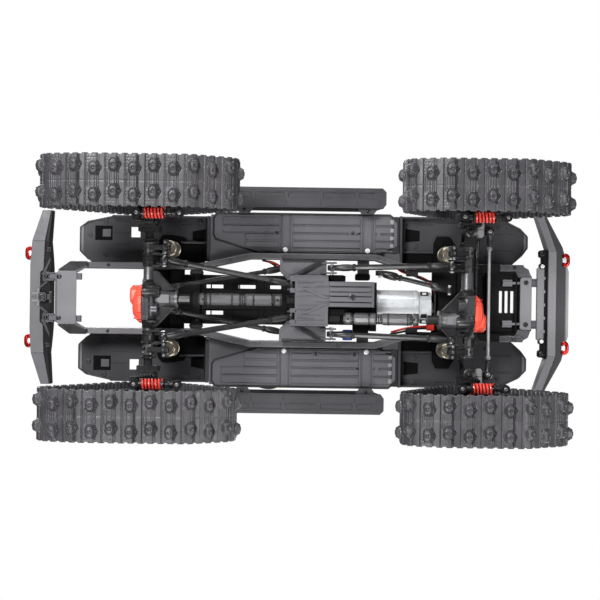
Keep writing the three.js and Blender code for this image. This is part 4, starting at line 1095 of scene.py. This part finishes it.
def pan_details(side):
    """The border in painted shade, lane ribs, ends in painted highlight under a floor pan, its screws, and the deck on
    top.
    """
    low, top = span(f"floor_pan_{side}", 2)
    # The border is a darker panel grey: painted shade round the pan's edge.
    skirt = [[(x, y, low + z) for x, y in grown(PAN_OUTLINE, by)]
             for by, z in ((-0.3, 0.4), (2.6, 2.2), (2.6, 3.6), (-0.3, 3.6))]
    skirt = lofted([points[::-1] for points in skirt], closed_ends=False)
    panel_piece(f"floor_pan_border_{side}", skirt, PANEL_PAINTED_SHADE, 0, side)
    ribs, ends = [], []
    for near, far in zip(PAN_LANES, PAN_LANES[1:]):
        for x0, x1 in ((-78, -19), (-4, 67), (83, 101)):
            if near < 64 and x0 < -40:
                x0 = -54 if near > 53 else -36
            lane = [(x0, near + 1.1), (x1, near + 1.1), (x1, far - 1.1), (x0, far - 1.1)]
            ribs.append(lofted([[(x, y, low + z) for x, y in grown(lane, by)]
                                for by, z in ((-0.2, -1.1), (0.2, 0.05))]))
        ends.append(prism([(98.6, low - 1.9), (99.2, low - 1.9), (102.4, low - 0.2), (102.4, low + 0.3),
                           (98.6, low + 0.3)], "y", near + 2.2, far - 2.2))
    ribs += [block(around(x, 0.5), (52, 89), (low - 1.3, low + 0.3)) for x in (-15.9, -7.1, 70.1, 79.9)]
    ribs.append(block((84.5, 88.5), (66, 78), (low - 1.2, low + 0.2)))
    panel_piece(f"floor_pan_ribs_{side}", ribs, PANEL, 0.2, side)
    # The lane ends are light grey: a painted highlight on their bevels.
    panel_piece(f"floor_pan_highlight_ends_{side}", ends, CAP_GREY_AND_HIGHLIGHT, 0.2, side)
    places = PAN_SCREWS[side]
    bosses = [turned([(3.9, -0.6), (3.9, 0.5), (3.4, 0.9), (2.4, 0.9)], (x, y, low - 0.4), DOWN, 26)
              for x, y in places]
    panel_piece(f"floor_pan_bosses_{side}", bosses, PANEL, 0, side)
    screws(f"floor_pan_screws_{side}", [(x, y, low - 1.0) for x, y in places], 2.1, side=side)
    deck = [chamfered(x, (58, 83), (top - 0.4, top + 0.8), 3) for x in ((-70, -16), (-6, 48), (58, 90))]
    panel_piece(f"floor_pan_top_{side}", deck, PANEL, 0.4, side)
    screws(f"floor_pan_top_screws_{side}", [(x, y, top) for x in (-11, 53) for y in (60, 81)], 2.2, UP, side=side)
    bright = [screw((x, 53.3, low - 1.4), DOWN, 2.7) for x in (-12.0, 74.9)]
    steel_piece(f"floor_pan_bolts_{side}", bright, side=side)
    # A near-black strip between pan and rail: painted shadow in the gap.
    gap_shadow = block((-38, 92), (49.2, 51.2), (low - 1.0, low + 3))
    piece(f"floor_pan_gap_shadow_{side}", gap_shadow, DEEP_BLACK_AND_SHADE, bevel=0, side=side)
    # The slope at the pan's front end is a darker panel grey: painted shade.
    slope = prism([(101.6, low - 0.4), (108.3, low + 2.0), (109.2, low + 6), (101.6, low + 2)], "y", 51, 89.6)
    panel_piece(f"floor_pan_slope_{side}", slope, PANEL_PAINTED_SHADE, 0.2, side)


def slider_details(side):
    """Ribs and a lip under a side step, and gussets on its two legs."""
    node = f"rock_slider_{side}"
    (x0, x1), z = span(node, 0), flat(node)
    shapes = []
    for y in ((98.6, 106.2), (113.6, 116.6)):
        for x in ((x0 + 2, -46), (-45, -12), (-11, 24.5), (25.5, 62.5), (63.5, x1 - 7)):
            shapes.append(block(x, y, (z - 0.5, z + 0.3)))
    for a, b in ((-60, -50), (68, 80)):
        shapes.append(upright([(a - 5, 97.2), (b + 5, 97.2), (b + 0.6, 91.5), (a - 0.6, 91.5)], z + 4.5, z + 7.5))
    panel_piece(f"rock_slider_ribs_{side}", shapes, STEP, 0.25, side)
    wall = upright([(x0 + 1, 96.9), (x1 - 5, 96.9), (x1 - 14, 93.8), (x0 + 14, 93.8)], z + 7.6, z + 9.6)
    panel_piece(f"rock_slider_lip_{side}", wall, BLACK, 0.3, side)
    screws(f"rock_slider_screws_{side}", [(-55, 94.4, z + 4.5), (74, 94.4, z + 4.5)], 1.8, side=side)


def skid_details():
    """Struts, ribs, rounded fins and a drain plug under the skid plate."""
    z = flat("skid_plate")
    fins = []
    for y in ((-19.4, -15.4), (-14, -9.8), (-8.8, -5.4), (-4.2, 0.6), (1.8, 5.6)):
        profile = [(34, z + 0.2), (34, z - 1.0), (36, z - 1.7), (73, z - 1.7), (77, z - 1.0), (79.6, z + 1.4),
                   (79.6, z + 3)]
        fins.append(prism(profile, "y", *y))
    arrow = [(6, 13), (12, 13), (30, 4.6), (33, 4.6), (33, 2.6), (28, 2.6), (11, 10.6), (6, 10.6)]
    fins += twice(*(block((1.5, 29), around(y, 0.55), (z - 0.8, z + 0.2)) for y in (4.6, 14.4, 19.6)),
                  upright(arrow, z - 1.1, z + 0.1), block((-0.6, 32.6), (24.4, 25.8), (z - 1.0, z + 2)),
                  block((-6, 1), (19.6, 25.4), (z, z + 3)), block((-6, 1), (8, 12.4), (z, z + 3)))
    wing = SKID_WING_Z
    struts = twice(upright([(0.5, 26.8), (5.5, 26.8), (29, 40), (29, 42), (24, 42)], wing - 3.4, wing + 0.2),
                   block((-14, 28), (40.6, 42.2), (wing - 2.2, wing + 0.2)))
    plates = twice(upright([(-8, 27), (-2, 27), (20, 39.4), (-15, 39.4), (-15, 33)], wing - 0.9, wing + 0.1),
                   upright([(9.5, 27), (30, 27), (30, 37.6)], wing - 0.9, wing + 0.1),
                   block((28.6, 31.4), (27, 41), (wing - 2.4, wing + 0.4)))
    panel_piece("skid_ribs", fins, PANEL, 0.45)
    # The struts are black: painted shade on the raised ribs.
    panel_piece("skid_struts", struts, BLACK, 0.3)
    panel_piece("skid_wing_panels", plates, PANEL)
    x, y = 57.5, -4
    plug = [turned([(3.3, -0.3), (3.3, 0.35), (2.8, 0.6), (2.3, 0.6), (2.3, -0.1)], (x, y, z - 1.7), DOWN, 28),
            block(around(x, 0.6), around(y, 2), (z - 2.1, z - 1.6)),
            block(around(x, 2), around(y, 0.6), (z - 2.1, z - 1.6))]
    panel_piece("skid_drain_plug", plug, SCREW, 0)


def gearbox_case():
    """The gearbox: transfer case below, a stepped main case above, the motor plate and both output flanges."""
    shapes = [block((5, 32), (-20.5, 20.5), (119, 140)), block((76.5, 84), (-20, 31), (129, 171.5))]
    for x, near, far in ((51.5, -26.5, -19.4), (77.5, -19.4, 24)):
        profile = [(2, 134), (12, 130.2), (x, 130.2), (x, 166), (x - 12, 171.5), (20, 171.5), (5, 160)]
        shapes.append(prism(profile, "y", near, far))
    for x, y, length in ((-9.8, 0, 15.8), (30, 18, 16)):
        shapes.append(turned([(3.4, 0), (4.9, 0.4), (4.9, length - 0.4), (3.4, length)], (x, y, OUTPUT_SHAFT_Z),
                             AHEAD, 28))
    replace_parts(piece("gearbox_case", shapes, DEEP_BLACK_AND_SHADE, bevel=0.5), "gearbox_housing")


def gearbox_details():
    """Case ribs, a filler cap, screws and the mounting brackets of the gearbox."""
    top = span("gearbox_housing", 2)[1]
    x, y = 30, -2
    shapes = [block(around(rib_x, 0.7), (-27.4 if rib_x < 50 else -20.3, 25), (138, 160))
              for rib_x in (12, 24, 36, 48, 60, 70)]
    shapes += [block((6, 50), (-27.6, -26), (150, 153)), block((6, 76), (23.6, 25.2), (150, 153)),
               turned([(9, -0.3), (14, -0.3), (14, 1.1), (12.6, 1.8), (9, 1.5)], (x, y, top), UP, 36)]
    piece("gearbox_ribs", shapes, BLACK, bevel=0.3)
    heads = [(x + 11.6 * math.cos(a), y + 11.6 * math.sin(a), top + 0.6)
             for a in (math.pi / 4 * i for i in (1, 3, 5, 7))]
    screws("gearbox_screws", heads, 1.7, UP)
    screws("motor_plate_screws", [(80, plate_y, 130.5) for plate_y in (-15, 26)], 1.8)
    shapes = [chamfered((36, 51), (-26.5, -19.6), (118, 130), 1.5), chamfered((34, 50), (8, 14.5), (112, 129), 1.0),
              chamfered((62, 77), (-29, -22), (131, 150), 1.2), chamfered((60, 76), (23, 33), (132, 150), 1.5)]
    piece("gearbox_brackets", shapes, PITCH_BLACK_AND_SHADE, bevel=0.4)


def motor_details():
    """The can's rolled seams, and the end bell with its windows, brush hoods and terminals."""
    start = Vector((span("motor", 0)[0], mid("motor").y, mid("motor").z))
    r = start.z - flat("motor")
    can = MOTOR_CAN_LENGTH
    rings = [turned([(r - 0.6, 0.5), (r + 0.3, 0.7), (r + 0.3, 2.2), (r - 0.6, 2.6)], start, AHEAD, 64),
             turned([(r - 0.4, can - 3.2), (r + 0.25, can - 3), (r + 0.25, can + 0.4), (r - 1.2, can + 0.8)], start,
                    AHEAD, 64),
             turned([(6, can + 12.4), (9, can + 12.2), (9, can + 14.6), (5.6, can + 14.8), (5.6, can + 15.8),
                     (2, can + 15.9)], start, AHEAD, 40)]
    steel_piece("motor_rings", rings)
    dark, tabs = [], []
    for i in range(4):
        angle = math.radians(90 * i + 32)
        u = Vector((0, math.cos(angle), math.sin(angle)))
        v = AHEAD.cross(u)
        centre = start + AHEAD * (can + 6) + u * (r - 1.5)
        window = [centre + v * a * 2.4 + AHEAD * b * 3.2 for a, b in ((-1, -1), (1, -1), (1, 1), (-1, 1))]
        dark.append(lofted([[corner - u * 0.4 for corner in window], [corner + u * 0.12 for corner in window]]))
    for s in (-1, 1):
        x, y, z = start + Vector((can + 7, s * (r - 3.4), -8.4))
        dark.append(chamfered((x - 4.5, x + 3.5), around(y, 2.2), around(z, 3), 0.6))
        tabs.append(chamfered((x - 2.6, x + 1.6), around(y, 1.2), (z - 4.4, z - 2.6), 0.3))
    # The end bell's windows are thin black sheets: painted shade inside the openings.
    piece("motor_vents", dark, BLACK, bevel=0)
    steel_piece("motor_terminals", tabs, bevel=0.15)


def tray_details():
    """Runners, stops and a rib grid on the battery tray, below and above."""
    (x0, x1), (z0, z1) = span("battery_tray", 0), span("battery_tray", 2)
    z = z0 + 6
    runner_x = (x0 + 4, x1 - 2)
    shapes = twice(*(block(runner_x, around(y, 0.9), (z - 2.2, z + 0.3)) for y in (9.4, 24)),
                   upright([(-132, 25), (-118, 25), (-132, 8)], z - 2.8, z),
                   chamfered((-112, -98), (25, 30.6), (z - 6.5, z - 1), 1.5))
    shapes += [block(around(x, 0.6), (-24, 24), (z - 1.2, z + 0.3)) for x in (-128, -98.5, -73, -66, -40, -34, -10)]
    shapes += [block(around(x, 0.7), (-23, 23), (z1 - 4.2, z1 - 3.2)) for x in (-120, -90, -60, -30)]
    piece("battery_tray_ribs", shapes, DEEP_BLACK_AND_SHADE)
    places = [(x, s * y, z - drop) for x, y, drop in ((-105, 22, 6), (-126, 15, 2.8)) for s in (-1, 1)]
    screws("battery_tray_screws", places, 1.9)


def cross_members():
    """The plates between the rails over both axles and behind the skid plate's rear edge."""
    shapes = twice(upright([(-159, 34), (-154, 31), (-150.5, 15), (-118, 15), (-118, 31), (-112, 34)], 149, 152),
                   block((-133, -121), (16, 31), (146, 149.2)))
    shapes += [block((-9, 3), (-22, 22), (146, 150)), block((143.5, 173), (-33.6, 33.6), (150, 153))]
    piece("cross_members", shapes, DEEP_BLACK_AND_SHADE, bevel=0.4)


def rail_details(side):
    """Painted light and shade strips and screws under a frame rail, and the blocks that carry the cross members."""
    z = flat(f"frame_rail_{side}")
    blocks = [chamfered(around(x, 6), (27, y), (z + 6, z + 16), 1.0) for x, y in ((-105, 33), (70.5, 45), (122, 37))]
    piece(f"frame_rail_blocks_{side}", blocks, BLACK, bevel=0.3, side=side)
    # A near-black strip under the front rail: painted shade.
    painted_strip = upright([(126, 30.8), (213, 32.4), (213, 40.4), (126, 38.8)], z - 1.0, z + 0.6)
    piece(f"frame_rail_front_shoe_{side}", painted_strip, DEEP_BLACK_AND_SHADE, bevel=0.4, side=side)
    # The rear strip is lighter on the left rail and darker on the right: painted light and shade.
    painted_strip = block((-217, -152), (31.2, 37.4), (z - 0.8, z + 0.6))
    panel_piece(f"frame_rail_rear_shoe_{side}", painted_strip, RAIL_LIGHT_AND_SHADE[side], 0.5, side)
    places = [(x, y, z - 0.6) for y, row in ((34.4, (-222, -196, -112)), (37.4, (128, 190, 228))) for x in row]
    screws(f"frame_rail_screws_{side}", places, 1.7, side=side)


def fender_details(end, side):
    """The wells and pockets in near-black painted shade, bars, bosses and rim under a wheel-arch liner, and ribs on
    its top.
    """
    top = span(f"{end}_inner_fender_{side}", 2)[1]
    z = top - 3
    pockets = [upright(FENDER_POCKETS[end], z + 1.5, z + 2.2)]
    if end == "rear":
        pockets.append(upright([(-216.5, 62), (-198, 62), (-198, 77.5), (-216.5, 77.5)], z - 0.25, z + 0.6))
        tile = upright([(-208.4, 65.7), (-199.6, 65.7), (-199.6, 73.9), (-208.4, 73.9)], z - 0.9, z)
        panel_piece(f"rear_fender_tile_{side}", tile, PANEL, 0.5, side)
    rear_x, front_x = FENDER_TOPS[end]
    raised = [chamfered((rear_x, front_x), around(y, 1.1), (top - 0.4, top + 0.9), 0.8) for y in (48, 84)]
    raised.append(chamfered((front_x - 48, front_x - 21), (54, 78), (top - 0.4, top + 0.7), 4))
    panel_piece(f"{end}_fender_top_ribs_{side}", raised, PANEL, 0.4, side)
    corners = [(x, y, top) for x in (rear_x - 2, front_x + 3) for y in (56, 76)]
    screws(f"{end}_fender_top_screws_{side}", corners, 2.2, UP, side=side)
    # The wells and pocket floors are near-black slabs: painted shade in the hollows under the liner.
    wells = [upright(outline, z - depth, z + 0.1) for outline, depth in FENDER_WELLS[end]]
    panel_piece(f"{end}_well_{side}", wells, PITCH_BLACK_AND_SHADE, 0.3, side)
    panel_piece(f"{end}_pocket_floor_{side}", pockets, PITCH_BLACK_AND_SHADE, 0, side)
    bar_start, bar_end, bar_y = FENDER_BARS[end]
    wall_start, wall_end, wall_foot = FENDER_WALLS[end]
    shapes = [rod((bar_start, bar_y, z - 3.2), (bar_end, bar_y, z - 3.2), 1.3, 14),
              prism([(wall_start, z + 0.1), (wall_end, z + 0.1), (wall_foot, z - 9)], "y", 43, 88),
              upright(FENDER_FLANGES[end], z - 0.4, z + 1.6)]
    shapes += [turned([(2.6, -0.3), (2.6, 0.8), (2.0, 1.2), (1.2, 1.2), (1.2, 0.4)], (x, y, z), DOWN, 22)
               for x, y in FENDER_BOSSES[end]]
    rim = FENDER_RIMS[end]
    shapes += [rod((*a, z - 0.2), (*b, z - 0.2), 1.1, 10) for a, b in zip(rim, rim[1:])]
    panel_piece(f"{end}_fender_ribs_{side}", shapes, LINER_PAINTED_SHADE, 0.2, side)
    panel_piece(f"{end}_fender_lip_{side}", upright(FENDER_LIPS[end], z - 0.8, z + 0.4), LIGHT_GREY_AND_PAINTED_LIGHT, 0.5, side)


# ---------------------------------------------------------------- bumpers

def tow_rings(end, x, z, way):
    """Two red shackles: a thick squared bow, two lugs, a cross pin and the bracket's tongue."""
    for side, sign in SIDES.items():
        name, y = f"{end}_tow_ring_{side}", sign * TOW_RING_Y
        place, out = Vector((x, y, z)), AHEAD * way
        pivot = place - out * 0.8
        bow = tube(smooth_path([place + out * a + OUT * b for a, b in TOW_BOW], 4), 2.3, 14)
        lugs = [turned([(2.2, -1.6), (2.9, -1), (2.9, 1), (2.2, 1.6)], pivot + across * 4.6, across, 20)
                for across in (-OUT, OUT)]
        piece(name, [bow, lugs], RED_PLATED, slot="red_steel", bevel=0)
        tongue = chamfered((x - way * 3.4, x + way * 0.4), around(y, 2.2), around(z, 1.6), 0.5)
        steel_piece(f"{name}_pin", [rod(pivot - OUT * 6.6, pivot + OUT * 6.6, 1.2, 14), tongue])


def front_bumper_details():
    """The front bumper: a flat face and ledge in painted light, a slope in front in painted shade, swept wings and a
    centre plate.
    """
    z = flat("front_bumper")
    top = z + BUMPER_HEIGHT
    face = [swept([(-55, 264.3, 272.6, z - 0.8, top), (55, 264.3, 272.6, z - 0.8, top)])]
    wings = twice(swept([(55, 264.3, 272.6, z - 0.8, top), (93.4, 251.2, 259.6, z + 5, top - 1)]))
    slope = [swept([(-58, 272.4, 279.6, z + 1.2, top), (-47, 272.4, 282.4, z + 0.4, top),
                    (47, 272.4, 282.4, z + 0.4, top), (58, 272.4, 279.6, z + 1.2, top)])]
    slope += twice(swept([(55, 272.5, 280.0, z + 1.0, top), (59, 271.2, 279.4, z + 1.2, top),
                          (93.4, 259.5, 262.2, z + 6, top - 1)]))
    recess = twice(chamfered((255.4, 262.4), (36.5, 42.5), (z + 1.6, z + 9), 1.4),
                   chamfered((254.8, 262.4), (48.6, 56.4), (z + 2.0, z + 9), 1.4),
                   block((257.4, 262.6), (40, 56), (z + 3.4, z + 9)))
    recess.append(block((259.8, 265), (-57, 57), (z + 2.6, z + 16)))
    ledge = [upright([(253.4, -37), (255, -38.4), (260.6, -38.4), (260.6, 38.4), (255, 38.4), (253.4, 37)],
                     z + 2.4, z + 9)]
    ledge += [block((258.6, 261.8), around(y, 1.6), (z + 1.8, z + 5)) for y in (-27, -13, 1, 15, 29)]
    plate = [upright([(282.2, -40), (284.6, -40), (286.6, -34), (286.6, 34), (284.6, 40), (282.2, 40)],
                     z + 3.4, z + 18)]
    plate += [block((281.6, 283.6), around(y, 0.8), (z + 2.2, z + 12)) for y in (-36, -18, 0, 18, 36)]
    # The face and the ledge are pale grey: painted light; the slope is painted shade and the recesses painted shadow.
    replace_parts(bumper_piece("front_bumper_face", face, PALE_GREY_PAINTED_LIGHT, 0.5), "front_bumper")
    bumper_piece("front_bumper_wings", wings, LIGHT_GREY_AND_PAINTED_LIGHT, 0.5)
    bumper_piece("front_bumper_slope", slope, PAINTED_SHADE, 0.4)
    bumper_piece("front_bumper_plate", plate, CAP_GREY_AND_HIGHLIGHT, 0.4)
    bumper_piece("front_bumper_ledge", ledge, PALE_GREY_PAINTED_LIGHT, 0.4)
    bumper_piece("front_bumper_recess", recess, DEEP_BLACK_AND_SHADE, 0.3)
    screws("front_bumper_screws", [(258.0, y, z + 2.0) for y in (-52.4, 52.4)], 2.6)
    steel_piece("front_bumper_bolts", [screw((258.4, y, z + 1.6), DOWN, 2.2) for y in (-39.4, 39.4)])
    tow_rings("front", span("front_bumper", 0)[1] - 4.7, z + 0.8, 1)


def rear_bumper_details():
    """The rear bumper: a flat face with swept wings, the trussed inner side in painted shade, a hitch block and stays.
    """
    z = flat("rear_bumper")
    top = z + BUMPER_HEIGHT
    half_face = [(-278.8, 0), (-278.8, 34), (-277.2, 58.6), (-263.7, 58.6), (-264.8, 29), (-268.1, 25.6),
                 (-268.1, 0)]
    half_side = [(-268.3, 0), (-268.3, 25.6), (-265.0, 29), (-263.9, 58.6), (-259.8, 58.6), (-258.4, 44),
                 (-257.4, 30), (-257.4, 0)]
    wings = swept([(58.6, -277.2, -263.7, z - 0.8, top), (91.6, -267.8, -258.6, z + 5, top - 1)])
    inner = twice(upright(half_side, z + 1.6, top - 1),
                  swept([(58.6, -263.9, -259.8, z + 1.6, top - 1), (91.6, -258.8, -257.6, z + 6, top - 2)]))
    truss = twice(upright([(-267.6, 24), (-265, 28), (-258, 42), (-258, 38), (-264, 22)], z + 0.2, z + 2),
                  upright([(-268.2, 12), (-258.2, 20), (-258.2, 17), (-268.2, 9)], z + 0.4, z + 2),
                  chamfered((-266, -258), (16, 27), (z + 0.4, z + 4), 1.6),
                  chamfered((-262.4, -258), (47.6, 52.4), (z - 0.4, z + 3), 1.0))
    # The inner side and the truss are near black and dark grey: painted shade.
    face = bumper_piece("rear_bumper_face", twice(upright(half_face, z - 0.8, top)), GREY, 0.6)
    bumper_piece("rear_bumper_wings", twice(wings), PANEL, 0.6)
    bumper_piece("rear_bumper_side", inner, DEEP_BLACK_AND_SHADE, 0.3)
    bumper_piece("rear_bumper_truss", truss, PAINTED_SHADE, 0.3)
    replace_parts(face, "rear_bumper")
    hitch = [chamfered((-269.5, -261), (-4.6, 4.6), (z - 3.4, z + 3), 1.6),
             turned([(1.9, -0.2), (3.4, -0.2), (3.4, 1.5), (2.8, 2.1), (1.9, 2.1), (1.9, 0.2)],
                    (-265.5, 0, z - 3.4), DOWN, 28),
             block((-261.4, -257.4), (-2.6, 2.6), (z - 1, z + 4)),
             block((-258.6, -256.6), (-6.2, 6.2), (z - 0.4, z + 5))]
    piece("tow_hitch", hitch, SATIN, bevel=0.4)
    stays = twice(block((-276.5, -269), (2.2, 5.4), (z - 2.2, z)))
    bumper_piece("tow_hitch_stays", [stays, block((-271, -268.4), (-9.5, 9.5), (z - 2.6, z))], LIGHT_GREY_AND_PAINTED_LIGHT, 0.3)
    bolts = [(x, s * y, z + rise) for x, y, rise in ((-260.4, 50, -0.4), (-262.2, 21.5, 0.4)) for s in (-1, 1)]
    screws("rear_bumper_screws", bolts, 1.9)
    tow_rings("rear", -280.4, z + 3, -1)


def front_mount_details():
    """Ribs, pins, a bar and screws of the front bumper's mount, and the servo guard behind it."""
    z = FRONT_MOUNT_Z
    ribs = twice(upright([(234, 27.5), (247.8, 27.5), (244.5, 36), (236, 40.5), (214, 40.5), (214, 33.6),
                          (231, 33.6)], z + 0.5, z + 8),
                 block((248, 256), (17.6, 19), (z, z + 9)), block((248, 256), (25, 26.4), (z, z + 9)))
    pins = twice(block((218, 239), around(21.6, 1.3), (z + 2.5, z + 7)),
                 block((218, 228), around(21.6, 3.6), (z + 3.5, z + 7)))
    panel_piece("front_mount_ribs", ribs, PANEL, 0.4)
    # The pins and the bar are pale grey: painted light, for the light the mount does not get.
    panel_piece("front_mount_pins", pins, PALE_GREY_PAINTED_LIGHT, 0.4)
    panel_piece("front_mount_bar", chamfered((235.5, 247.5), (-27.5, 27.5), (z - 1.6, z + 0.3), 1.5), PALE_GREY_PAINTED_LIGHT, 0.5)
    screws("front_mount_screws", [(241.5, y, z - 1.6) for y in (-22, 22)], 2.6)
    guard = [block((170, 238.2), y, GUARD_Z) for y in ((-34.6, -13.4), (10.4, 34.6))]
    guard += [block(x, (-13.6, 10.6), GUARD_Z) for x in ((170, 214.7), (218.3, 220.7), (224.3, 226.7), (230.3, 238.2))]
    guard += [block((200.5, 204), (-33, 33), (143.5, 152)), block((231, 233), (-33, 33), (144.5, 149))]
    guard += [block((204, 231), around(y, 0.7), (147.6, 149.2)) for y in (-24, -18, 14, 20, 26)]
    guard += twice(block((200.5, 233), (31, 33.4), (143.5, 152)),
                   upright([(186, 20), (201, 31), (201, 33), (186, 33)], 146, 150),
                   block((184, 204), (31.4, 33.2), (140, 152)))
    piece("servo_guard", guard, DEEP_BLACK_AND_SHADE, bevel=0.3)


def rear_mount_details():
    """The plate, arms, ribs and screws of the rear bumper's mount."""
    z = flat("rear_bumper_mount")
    plate = upright([(-248.6, -26), (-247, -27.8), (-229.4, -27.8), (-228.4, -26), (-228.4, 26), (-229.4, 27.8),
                     (-247, 27.8), (-248.6, 26)], z - 0.9, z + 0.2)
    arms = twice(upright([(-248.2, 28), (-246.6, 29.8), (-235.4, 37.8), (-217.8, 37.8), (-217.8, 33.4),
                          (-230.5, 28)], z - 0.7, z + 0.3))
    ribs = twice(block((-231, -224), around(22, 3.4), (z + 1, z + 7)),
                 block((-260, -252), (17.2, 18.6), (z + 0.4, z + 12)),
                 block((-260, -252), (24.4, 25.8), (z + 0.4, z + 12)))
    panel_piece("rear_mount_plate", plate, LIGHT_GREY_AND_PAINTED_LIGHT, 0.5)
    # The arms are black: painted shade for the shading under the angled arms.
    panel_piece("rear_mount_arms", arms, BLACK, 0.4)
    panel_piece("rear_mount_ribs", ribs, PANEL, 0.35)
    screws("rear_mount_screws", [(-246.5, y, z - 0.7) for y in (-21.5, 21.5)], 2.6)


def leads():
    """Short insulated leads clipped inside the chassis, a servo plug and a capacitor."""
    for name, points in LEADS.items():
        look, slot = (WIRE_RED, "red_plastic") if name.endswith("red") else (WIRE_BLACK, "black_plastic")
        piece(name, tube(smooth_path(points), LEAD_RADIUS), look, slot=slot, bevel=0)
    plug = chamfered((138, 146), (22.6, 29.8), (143.4, 149.6), 0.8)
    piece("servo_plug", plug, WIRE_RED, slot="red_plastic", bevel=0.3)
    capacitor = turned([(0.1, 0), (4.6, 0), (5.1, 0.6), (5.1, 10.4), (4.6, 11)], (54.6, 30, 141), OUT, 28)
    piece("capacitor", capacitor, WIRE_BLUE, bevel=0)


def build_details():
    """Every piece that isn't a CAD node or a belt."""
    for end in ENDS:
        axle_shell(end)
        axle_details(end)
        cover_details(end)
        for side in SIDES:
            for detail in (track_damper, road_wheels, track_hardware, frame_ribs, hub_details, shock, fender_details):
                detail(end, side)
    for side in SIDES:
        pan_details(side)
        slider_details(side)
        rail_details(side)
        for name in LINKS:
            link_hardware(name, side)
    driveshaft_hardware("rear_driveshaft")
    driveshaft_hardware("front_driveshaft")
    for detail in (steering_details, front_upper_link, skid_details, gearbox_case, gearbox_details, motor_details,
                   tray_details, cross_members, front_bumper_details, rear_bumper_details, front_mount_details,
                   rear_mount_details, leads):
        detail()


# ---------------------------------------------------------------- camera, light and floor

def make_camera():
    """A long lens under the object, looking straight up, with the left side towards the bottom edge."""
    data = bpy.data.cameras.new("camera")
    data.lens = LENS
    data.sensor_width = 36.0
    data.clip_start, data.clip_end = 0.05, 20.0
    camera = shown("camera", data)
    c, s = math.cos(CAMERA_ROLL), math.sin(CAMERA_ROLL)
    turn = Matrix(((c, -s, 0), (-s, -c, 0), (0, 0, -1)))
    camera.matrix_world = Matrix.Translation(CAMERA_PLACE * MM) @ turn.to_4x4()
    bpy.context.scene.camera = camera


def area_light(name, place, target, size, power):
    """A rectangular light turned to a point."""
    data = bpy.data.lights.new(name, "AREA")
    data.shape = "RECTANGLE"
    data.size, data.size_y = size
    data.energy = power
    light = shown(name, data)
    light.location = place
    light.rotation_mode = "QUATERNION"
    light.rotation_quaternion = (Vector(target) - Vector(place)).to_track_quat("-Z", "Y")


def make_world():
    """A white surround for the eye, and a softer one for the light it gives."""
    world = bpy.data.worlds.new("studio")
    bpy.context.scene.world = world
    world.use_nodes = True
    tree = world.node_tree
    tree.nodes.clear()
    soft = added(tree, "Background", {"Color": (0.96, 0.98, 1.0, 1), "Strength": 0.12})
    seen = added(tree, "Background", {"Color": (1, 1, 1, 1), "Strength": 1.0})
    mix = added(tree, "MixShader", links={"Fac": added(tree, "LightPath").outputs["Is Camera Ray"],
                                          1: soft.outputs["Background"], 2: seen.outputs["Background"]})
    added(tree, "OutputWorld", links={"Surface": mix.outputs["Shader"]})


def make_lights():
    """The studio lights, most of them below the object."""
    target = (0, 0, 0.08)
    area_light("underside_key", (-0.55, -0.62, -1.10), target, (0.42, 0.42), 24)
    area_light("underside_soft", (0.45, -1.15, -1.00), target, (0.8, 0.6), 7)
    area_light("underside_far", (-0.30, 0.72, -1.15), target, (0.5, 0.5), 15)
    area_light("underside_fill", (1.00, 0.30, -0.85), target, (0.5, 0.5), 9)
    area_light("left_strip", (0.1, 1.2, 0.05), target, (1.4, 0.35), 10)
    area_light("right_strip", (-0.1, -1.2, 0.05), target, (1.4, 0.35), 10)
    area_light("top_key", (-0.7, -0.9, 1.5), target, (1.2, 1.2), 34)
    area_light("top_fill", (1.0, 0.8, 1.2), target, (1.2, 1.0), 16)


def make_floor():
    """A pale studio floor under the belts. It is solid only to the eye that looks down on it."""
    material = bpy.data.materials.new("studio_floor")
    material.use_nodes = True
    tree = material.node_tree
    tree.nodes.clear()
    clear = added(tree, "BsdfTransparent")
    pale = added(tree, "BsdfDiffuse", {"Color": (0.86, 0.86, 0.87, 1)})
    front = added(tree, "Math", {0: 1.0}, {1: added(tree, "NewGeometry").outputs["Backfacing"]})
    front.operation = "SUBTRACT"
    seen = added(tree, "Math", links={0: added(tree, "LightPath").outputs["Is Camera Ray"],
                                      1: front.outputs["Value"]})
    seen.operation = "MULTIPLY"
    mix = added(tree, "MixShader", links={"Fac": seen.outputs["Value"], 1: clear.outputs["BSDF"],
                                          2: pale.outputs["BSDF"]})
    added(tree, "OutputMaterial", links={"Surface": mix.outputs["Shader"]})
    mesh = bpy.data.meshes.new("floor")
    corners = [(x * FLOOR_HALF, y * FLOOR_HALF, -FLOOR_DROP) for x, y in ((-1, -1), (1, -1), (1, 1), (-1, 1))]
    mesh.from_pydata(corners, [], [(0, 1, 2, 3)])
    mesh.materials.append(material)
    shown("floor", mesh)


# ---------------------------------------------------------------- assembly

bpy.context.scene.view_settings.view_transform = "Standard"
make_camera()
make_world()
make_lights()
make_floor()
dress_cad_nodes()
for end_name in ENDS:
    for side_name in SIDES:
        belt(end_name, side_name)
build_details()
